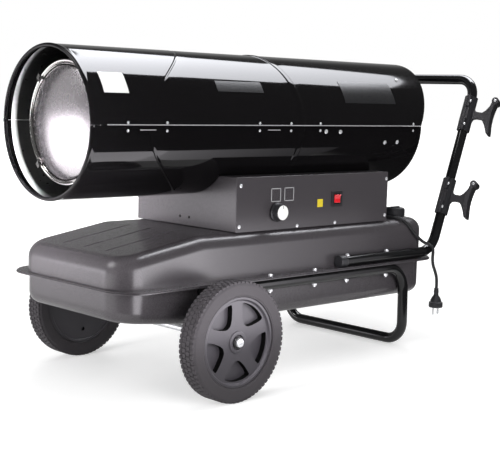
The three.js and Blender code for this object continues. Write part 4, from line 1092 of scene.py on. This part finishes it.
def makeFrame(values):
    v = values
    topZ = v["armZ"] + (v["topX"] - v["footX"]) / math.tan(math.radians(v["lean"]))
    side = [(v["armFrontX"], v["armZ"]), (v["footX"], v["armZ"]), (v["topX"], topZ)]
    corners = ([at(x, -v["y"], z) for x, z in side] + [at(x, v["y"], z) for x, z in reversed(side)])
    handle = tubeMesh("handle", bentRoute(corners, [60, 50, 50, 60]), v["radius"])
    settle(handle, "pushHandle", "frameBlack", "chassis", ["handle"], angle=50)
    legTop = bodyPlace @ at(v["legX"], 0, v["railZ"])
    foot = v["radius"] * mm
    corners = []
    for sign in (-1, 1):
        front = bodyPlace @ at(v["railFrontX"], sign * v["y"], v["railZ"])
        bend = Vector((legTop.x, sign * v["y"] * mm, legTop.z))
        down = Vector((legTop.x, sign * v["y"] * mm, foot))
        corners += [front, bend, down] if sign < 0 else [down, bend, front]
    legs = tubeMesh("legs", bentRoute(corners, [60, 48, 48, 60]), v["radius"] * 0.999)
    settle(legs, "legFrame", "frameBlack", "chassis", ["leg_frame"],
           Matrix.Identity(4), 50)


bolts = {"flangeX": (177, 318), "armX": (427, 569), "y": 195.8, "flangeTop": 234.1, "armTop": 259.2,
         "railBottom": 203.8}


def makeBolts(values):
    head = screwHead(5.2, 4.2, False)
    nut = plate("nut", arc(0, 0, 5.6, 0, 300, 5), "z", 0, 4.4)
    soften(nut, 0.4 * mm, 2)
    end = rod("z", origin, 4, 7.5, 3, 16)
    nut = paint(joinAll("nut", [nut, end]), "zinc")
    parts = []
    for side in (-1, 1):
        for top, places in (("flangeTop", values["flangeX"]), ("armTop", values["armX"])):
            for x in places:
                foot = at(x, side * values["y"], 0)
                parts.append(copyOf(head, Matrix.Translation(foot + at(0, 0, values[top]))))
                parts.append(copyOf(nut, Matrix.Translation(foot + at(0, 0, values["railBottom"]))
                                    @ Matrix.Rotation(math.pi, 4, "X")))
    bpy.data.objects.remove(head)
    bpy.data.objects.remove(nut)
    settle(joinAll("bolts", parts), "frameBolts", None, "chassis")


makeFrame(tube)
makeBolts(bolts)
refined("handle_end_cap_near", "handleCapNear", 0.5 * mm)
refined("handle_end_cap_far", "handleCapFar", 0.5 * mm)

hooks = {"heights": {"lower": 382, "upper": 590}, "turn": 72, "screwUp": 31, "screwOut": 20.5, "face": 6.0,
         "knobUp": 42, "knobOut": 67, "knobSide": 15, "plainFootX": 750, "neckStart": 16, "neckEnd": 58,
         "shorter": 11, "stouter": 1.25}


def hookPlace(footX, height):
    # the frame of a hook: +X the way it reaches, +Z up the tube
    x = footX + (height - tube["armZ"]) * math.tan(math.radians(tube["lean"]))
    leaned = Matrix.Rotation(math.radians(tube["lean"]), 4, "Y")
    turned = Matrix.Rotation(-math.radians(hooks["turn"]), 4, "Z")
    return Matrix.Translation(at(x, -tube["y"], height)) @ leaned @ turned


def makeHooks(values):
    start = values["neckStart"] * mm
    end = values["neckEnd"] * mm
    for place, height in values["heights"].items():
        plain = (bodyPlace @ hookPlace(values["plainFootX"], height)).inverted()
        placed = bodyPlace @ hookPlace(tube["footX"], height)

        def trim(point):
            local = plain @ point
            share = min(max((local.x - start) / (end - start), 0), 1)
            local.x -= values["shorter"] * mm * share
            local.y *= 1 + (values["stouter"] - 1) * share
            return placed @ local

        hook = refined("cord_hook_" + place, "cordHook" + place.title(), 1.4 * mm, 3, "hookPlastic", trim)
        refined("hook_clamp_" + place, "hookClamp" + place.title(), 0.8 * mm, 3, "hookPlastic", trim)
        # painted shade: the hook faces that look outward take the darker black plastic
        hook.data.materials.append(finish["blackPlastic"])
        outward = (placed.to_3x3() @ Vector((1, 0, 0))).normalized()
        for face in hook.data.polygons:
            if face.normal.dot(outward) > 0.35:
                face.material_index = 1

    head = screwHead(3.6, 2.6)
    parts = []
    for height in values["heights"].values():
        upright = hookPlace(tube["footX"], height)
        for up in (-1, 1):
            for out in (-1, 1):
                spot = at(values["face"], out * values["screwOut"], up * values["screwUp"])
                facing = Matrix.Rotation(math.pi / 2, 4, "Y")
                parts.append(copyOf(head, upright @ Matrix.Translation(spot) @ facing))
        for out in (-1, 1):
            spot = at(values["knobOut"], out * values["knobSide"], values["knobUp"])
            facing = Matrix.Rotation(-out * math.pi / 2, 4, "X")
            parts.append(copyOf(head, upright @ Matrix.Translation(spot) @ facing))
    bpy.data.objects.remove(head)
    settle(joinAll("hookScrews", parts), "hookScrews", None, "chassis")


makeHooks(hooks)
for place in ("near", "far"):
    refined("axle_bracket_" + place, "axleBracket" + place.title(), 0.6 * mm, 2)
print("frame made")


wheel = {"radius": 125, "width": 46, "centreY": 269.6, "rim": 93, "blocks": 72, "treadDepth": 2.0,
         "bore": 8.2, "pockets": 5, "pocketTurn": 18, "pocketDepth": 13,
         "pocketEdge": ((78.5, 25.2), (70, 24.6), (60, 22.4), (50, 18.5), (44, 14), (40.5, 9), (39, 4))}


def treadBlock(values, y0, y1, degrees):
    r = values["radius"]
    half = math.radians(360 / values["blocks"] * 0.37)
    top = r - 0.02
    wedge = [(math.sin(a) * radius, math.cos(a) * radius) for a, radius in
             ((-half * 1.08, r - 5), (-half, top), (0, top), (half, top), (half * 1.08, r - 5))]
    tread = plate("tread", wedge, "y", y0, y1)
    soften(tread, 0.5 * mm, 1)
    tread.data.transform(Matrix.Rotation(math.radians(degrees), 4, "Y"))
    return tread


def makeTyre(values):
    half = values["width"] / 2
    r = values["radius"]
    rim = values["rim"]
    floor = r - values["treadDepth"]
    side = [(-half + 2.6, rim + 0.4), (-half + 0.9, rim + 1.2), (-half + 0.3, rim + 2.8),
            (-half + 0.9, rim + 3.6), (-half + 0.2, rim + 4.4), (-half, rim + 6), (-half, r - 9),
            (-half + 0.8, r - 6.4), (-half + 2.2, r - 4.6), (-half + 4, floor)]
    profile = side + [(0, floor)] + [(-a, b) for a, b in reversed(side)]
    parts = [spinLine("core", "y", origin, profile, 160)]
    pitch = 360 / values["blocks"]
    rows = ((-half + 2.4, -12.4, 0), (-11.2, -0.7, 0.5), (0.7, 11.2, 0), (12.4, half - 2.4, 0.5))
    for i in range(values["blocks"]):
        for low, high, shift in rows:
            parts.append(treadBlock(values, low, high, (i + shift) * pitch + 180))
    return joinAll("tyre", parts)


def makeDisc(values):
    half = values["width"] / 2
    rim = values["rim"]
    profile = [(-half + 10, values["bore"]), (-half + 10, 14.6), (-half + 5.6, 15.2), (-half + 5, 16),
               (-half + 5, 21), (-half + 5.6, 22.2), (-half + 8, 23.4), (-half + 8.5, 25),
               (-half + 8.5, rim - 8.6), (-half + 7.6, rim - 7.2), (-half + 3.6, rim - 5.4),
               (-half + 3, rim - 4.4), (-half + 3, rim - 0.3),
               (half - 3, rim - 0.3), (half - 3, rim - 5), (half - 6, rim - 7), (half - 6, 20),
               (half - 2, 18), (half - 2, values["bore"])]
    disc = spinLine("disc", "y", origin, profile, 96)
    pockets = []
    edge = [(r, math.radians(a)) for r, a in values["pocketEdge"]]
    for i in range(values["pockets"]):
        outline = arc(0, 0, 81, -23, 23, 12)
        outline += [(r * math.cos(a), r * math.sin(a)) for r, a in edge]
        outline += [(r * math.cos(a), -r * math.sin(a)) for r, a in reversed(edge)]
        pocket = plate("pocket", outline, "y", -half - 2, -half + 8.5 + values["pocketDepth"])
        degrees = 360 / values["pockets"] * i + values["pocketTurn"]
        pocket.data.transform(Matrix.Rotation(math.radians(degrees), 4, "Y"))
        pockets.append(pocket)
    carve(disc, pockets)
    carve(disc, [rod("y", at(0, 0, -62), half - 12, half, 4.5, 20)])
    soften(disc, 0.6 * mm, 2, 40)
    paint(disc, "discPlastic").data.materials.append(finish["paintedPocketShade"])
    # painted shade: the pocket walls take a near-black finish
    for face in disc.data.polygons:
        reach = math.hypot(face.center.x, face.center.z) / mm
        if abs(face.normal.y) < 0.5 and 32 < reach < 83.5 and face.center.y < (half - 8) * mm:
            face.material_index = 1
    return disc


def makeAxleCap(values, place, turned):
    low = -values["width"] / 2 + 4
    ringLine = [(low, 8), (low, 12.8), (low - 1.2, 12.8), (low - 2, 11.6), (low - 2, 8)]
    endLine = [(low, 0), (low, 9.4), (low - 5, 9.2), (low - 6.6, 8.6), (low - 8, 6.6), (low - 8.6, 3.4),
               (low - 8.6, 0)]
    washer = paint(spinLine("washer", "y", origin, ringLine, 40), "shadowGap")
    end = paint(spinLine("end", "y", origin, endLine, 40, closed=False), "zinc")
    cap = joinAll("cap", [washer, end])
    settle(cap, "axleCap" + place.title(), None, "chassis", ["axle_cap_" + place], turned)


def makeWheels(values):
    tyre = makeTyre(values)
    disc = makeDisc(values)
    for side, place in ((-1, "near"), (1, "far")):
        centre = Matrix.Translation((axleCentre.x, side * values["centreY"] * mm, wheelRadius))
        turned = centre if side < 0 else centre @ Matrix.Rotation(math.pi, 4, "Z")
        settle(copyOf(tyre, Matrix.Identity(4)), "tyre" + place.title(), "tyreRubber", "wheel_" + place,
               ["tyre_" + place], centre)
        settle(copyOf(disc, Matrix.Identity(4)), "wheelDisc" + place.title(), None, "wheel_" + place,
               ["wheel_disc_" + place], turned)
        makeAxleCap(values, place, turned)
    bpy.data.objects.remove(tyre)
    bpy.data.objects.remove(disc)


makeWheels(wheel)
print("wheels made")


studio = {
    "floorSize": 24,
    "floorColour": (0.86, 0.86, 0.86),
    "floorGlow": (0.38, 1.0),
    "glowReach": (1.0, 4.0),
    "mirroredGlow": 0.35,
    "darkFloorY": (-0.52, -0.60),
    "darkFloorX": (0.55, 0.80),
    "darkShare": 0.96,
    "worldLight": 0.35,
    "darkSide": 0.13,
    "wall": 0.38,
    "wallY": (0.30, 0.80),
    "wallTopZ": (0.30, 0.60),
}


def combine(tree, operation, first, second):
    node = tree.nodes.new("ShaderNodeMath")
    node.operation = operation
    for socket, value in zip(node.inputs, (first, second)):
        feed(tree, socket, value)
    return node.outputs[0]


def seenDirectly(tree):
    # 1 for rays that come from the camera, a mirror or glass, 0 for light that only shades
    path = tree.nodes.new("ShaderNodeLightPath")
    mirrored = path.outputs["Is Glossy Ray"]
    direct = combine(tree, "MAXIMUM", path.outputs["Is Camera Ray"], mirrored)
    return combine(tree, "MAXIMUM", direct, path.outputs["Is Transmission Ray"]), mirrored


def whiteBackground(values):
    world = bpy.data.worlds.new("studio")
    bpy.context.scene.world = world
    world.use_nodes = True
    tree = world.node_tree
    backdrop = tree.nodes["Background"]
    backdrop.inputs["Color"].default_value = (1, 1, 1, 1)
    seen, mirrored = seenDirectly(tree)
    white = ramp(tree, seen, 0, 1, values["worldLight"], 1.0)
    # mirrored rays find a pale wall beyond the far side and a darker room elsewhere
    where, parts = coordinates(tree, "Generated")
    behind = ramp(tree, parts["Y"], *values["wallY"], 0, 1)
    level = ramp(tree, parts["Z"], *values["wallTopZ"], 1, 0)
    wall = ramp(tree, combine(tree, "MULTIPLY", behind, level), 0, 1, values["darkSide"], values["wall"])
    strength = blend(tree, mirrored, white, wall, "FLOAT")
    tree.links.new(strength, backdrop.inputs["Strength"])


def addFloor(values):
    deselectAll()
    bpy.ops.mesh.primitive_plane_add(size=values["floorSize"], location=(0, 0, -0.0005))
    floor = bpy.context.object
    floor.name = "floor"
    material = bpy.data.materials.new("floor")
    material.use_nodes = True
    tree = material.node_tree
    shader = tree.nodes["Principled BSDF"]
    shader.inputs["Roughness"].default_value = 0.9
    shader.inputs["Specular IOR Level"].default_value = 0.0
    shader.inputs["Emission Color"].default_value = (1, 1, 1, 1)
    seen, mirrored = seenDirectly(tree)
    where, parts = coordinates(tree, "Object")
    reach = tree.nodes.new("ShaderNodeVectorMath")
    reach.operation = "LENGTH"
    tree.links.new(where, reach.inputs[0])
    # mirrored rays find the floor dark beyond the near side and beyond the rear
    end = combine(tree, "MAXIMUM", ramp(tree, parts["Y"], *values["darkFloorY"], 0, values["darkShare"]),
                  ramp(tree, parts["X"], *values["darkFloorX"], 0, values["darkShare"]))
    dark = combine(tree, "MULTIPLY", end, mirrored)
    paper = blend(tree, dark, (*values["floorColour"], 1), (0, 0, 0, 1))
    tree.links.new(paper, shader.inputs["Base Color"])
    glow = ramp(tree, reach.outputs["Value"], *values["glowReach"], *values["floorGlow"])
    glow = combine(tree, "MULTIPLY", glow, seen)
    glow = combine(tree, "MULTIPLY", glow, ramp(tree, mirrored, 0, 1, 1.0, values["mirroredGlow"]))
    glow = combine(tree, "MULTIPLY", glow, combine(tree, "SUBTRACT", 1.0, dark))
    tree.links.new(glow, shader.inputs["Emission Strength"])
    floor.data.materials.append(material)


def addSoftbox(name, place, target, size, power, width):
    data = bpy.data.lights.new(name, "AREA")
    data.shape = "RECTANGLE"
    data.size, data.size_y = size
    data.energy = power
    data.spread = math.radians(width)
    lamp = bpy.data.objects.new(name, data)
    lamp.visible_glossy = False
    lamp.location = place
    lamp.rotation_euler = (Vector(target) - Vector(place)).to_track_quat("-Z", "Y").to_euler()
    bpy.context.scene.collection.objects.link(lamp)


def addCard(name, corners, bright, across, along, tint):
    # a glowing panel that only mirrored rays see; along and across say how much of its brightness
    # is left at the end of its first and second side
    deselectAll()
    bpy.ops.mesh.primitive_plane_add(size=1)
    card = bpy.context.object
    card.name = name
    corners = [Vector(corner) for corner in corners]
    for vertex, corner in zip(card.data.vertices, corners):
        vertex.co = corner
    material = bpy.data.materials.new(name)
    material.use_nodes = True
    tree = material.node_tree
    tree.nodes.remove(tree.nodes["Principled BSDF"])
    glow = tree.nodes.new("ShaderNodeEmission")
    glow.inputs["Color"].default_value = (*tint, 1)
    place = tree.nodes.new("ShaderNodeTexCoord")
    shift = tree.nodes.new("ShaderNodeVectorMath")
    shift.operation = "SUBTRACT"
    shift.inputs[1].default_value = corners[0]
    tree.links.new(place.outputs["Object"], shift.inputs[0])
    level = bright
    for share, side in ((along, corners[1] - corners[0]), (across, corners[2] - corners[0])):
        dot = tree.nodes.new("ShaderNodeVectorMath")
        dot.operation = "DOT_PRODUCT"
        dot.inputs[1].default_value = side / side.length_squared
        tree.links.new(shift.outputs[0], dot.inputs[0])
        level = combine(tree, "MULTIPLY", level, combine(tree, "POWER", share, dot.outputs["Value"]))
    tree.links.new(level, glow.inputs["Strength"])
    tree.links.new(glow.outputs[0], tree.nodes["Material Output"].inputs["Surface"])
    card.data.materials.append(material)
    card.visible_camera = False
    card.visible_diffuse = False
    card.visible_shadow = False


# places of lamps and cards are in metres from the axle, on the floor
softboxes = {
    "overhead": {"place": (0.5, -0.3, 2.8), "target": (0.2, 0, 0.4), "size": (2.4, 1.6), "power": 22},
    "leftKey": {"place": (-3.4, 0.2, 0.8), "target": (0, 0, 0.35), "size": (1.4, 1.1), "power": 122},
    "nearFill": {"place": (-0.5, -3.0, 1.0), "target": (0.2, 0, 0.35), "size": (1.8, 1.2), "power": 72},
    "backFill": {"place": (2.2, 2.8, 1.6), "target": (0.2, 0, 0.3), "size": (1.8, 1.2), "power": 55},
    "mouthLight": {"place": (-1.7, -1.1, 0.50), "target": (-0.25, 0.06, 0.46), "size": (0.25, 0.25),
                   "power": 2.6, "width": 12},
}
lilac = (0.98, 0.95, 1.0)
cards = {
    "overheadCard": {"corners": ((0.80, -0.33, 2.5), (3.15, -0.76, 2.5), (1.70, 2.05, 2.5),
                                 (3.15, 0.48, 2.5)),
                     "bright": 26, "across": 0.3, "along": 0.5, "tint": (0.94, 0.95, 1.0)},
    "backCard": {"corners": ((-3.0, 0.5, 2.5), (-1.4, 0.5, 2.5), (-3.0, 1.7, 2.5), (-1.4, 1.7, 2.5)),
                 "bright": 14, "across": 0.6, "along": 0.6},
    "leftCard": {"corners": ((-0.9, 1.5, 0.0), (-1.75, 0.75, 0.0), (-0.9, 1.5, 0.6), (-1.75, 0.75, 0.6)),
                 "bright": 2.3, "across": 1.0, "along": 3.6, "tint": lilac},
    "nearCard": {"corners": ((-0.20, -0.36, 0.12), (0.16, -0.36, 0.12), (-0.20, -0.36, 0.31),
                             (0.16, -0.36, 0.31)),
                 "bright": 7.5, "across": 1.0, "along": 0.9, "tint": lilac},
    "nearCardEnd": {"corners": ((0.16, -0.36, 0.12), (0.75, -0.36, 0.12), (0.16, -0.36, 0.31),
                                (0.75, -0.36, 0.31)),
                    "bright": 4.5, "across": 1.0, "along": 0.12, "tint": lilac},
}


def fromAxle(place):
    x, y, z = place
    return axleCentre.x + x, y, z


whiteBackground(studio)
addFloor(studio)
for name, lamp in softboxes.items():
    addSoftbox(name, fromAxle(lamp["place"]), fromAxle(lamp["target"]), lamp["size"], lamp["power"],
               lamp.get("width", 180))
for name, card in cards.items():
    addCard(name, [fromAxle(corner) for corner in card["corners"]], card["bright"], card["across"],
            card["along"], card.get("tint", (1, 1, 1)))
bpy.context.scene.view_settings.view_transform = "Standard"
print("studio made")
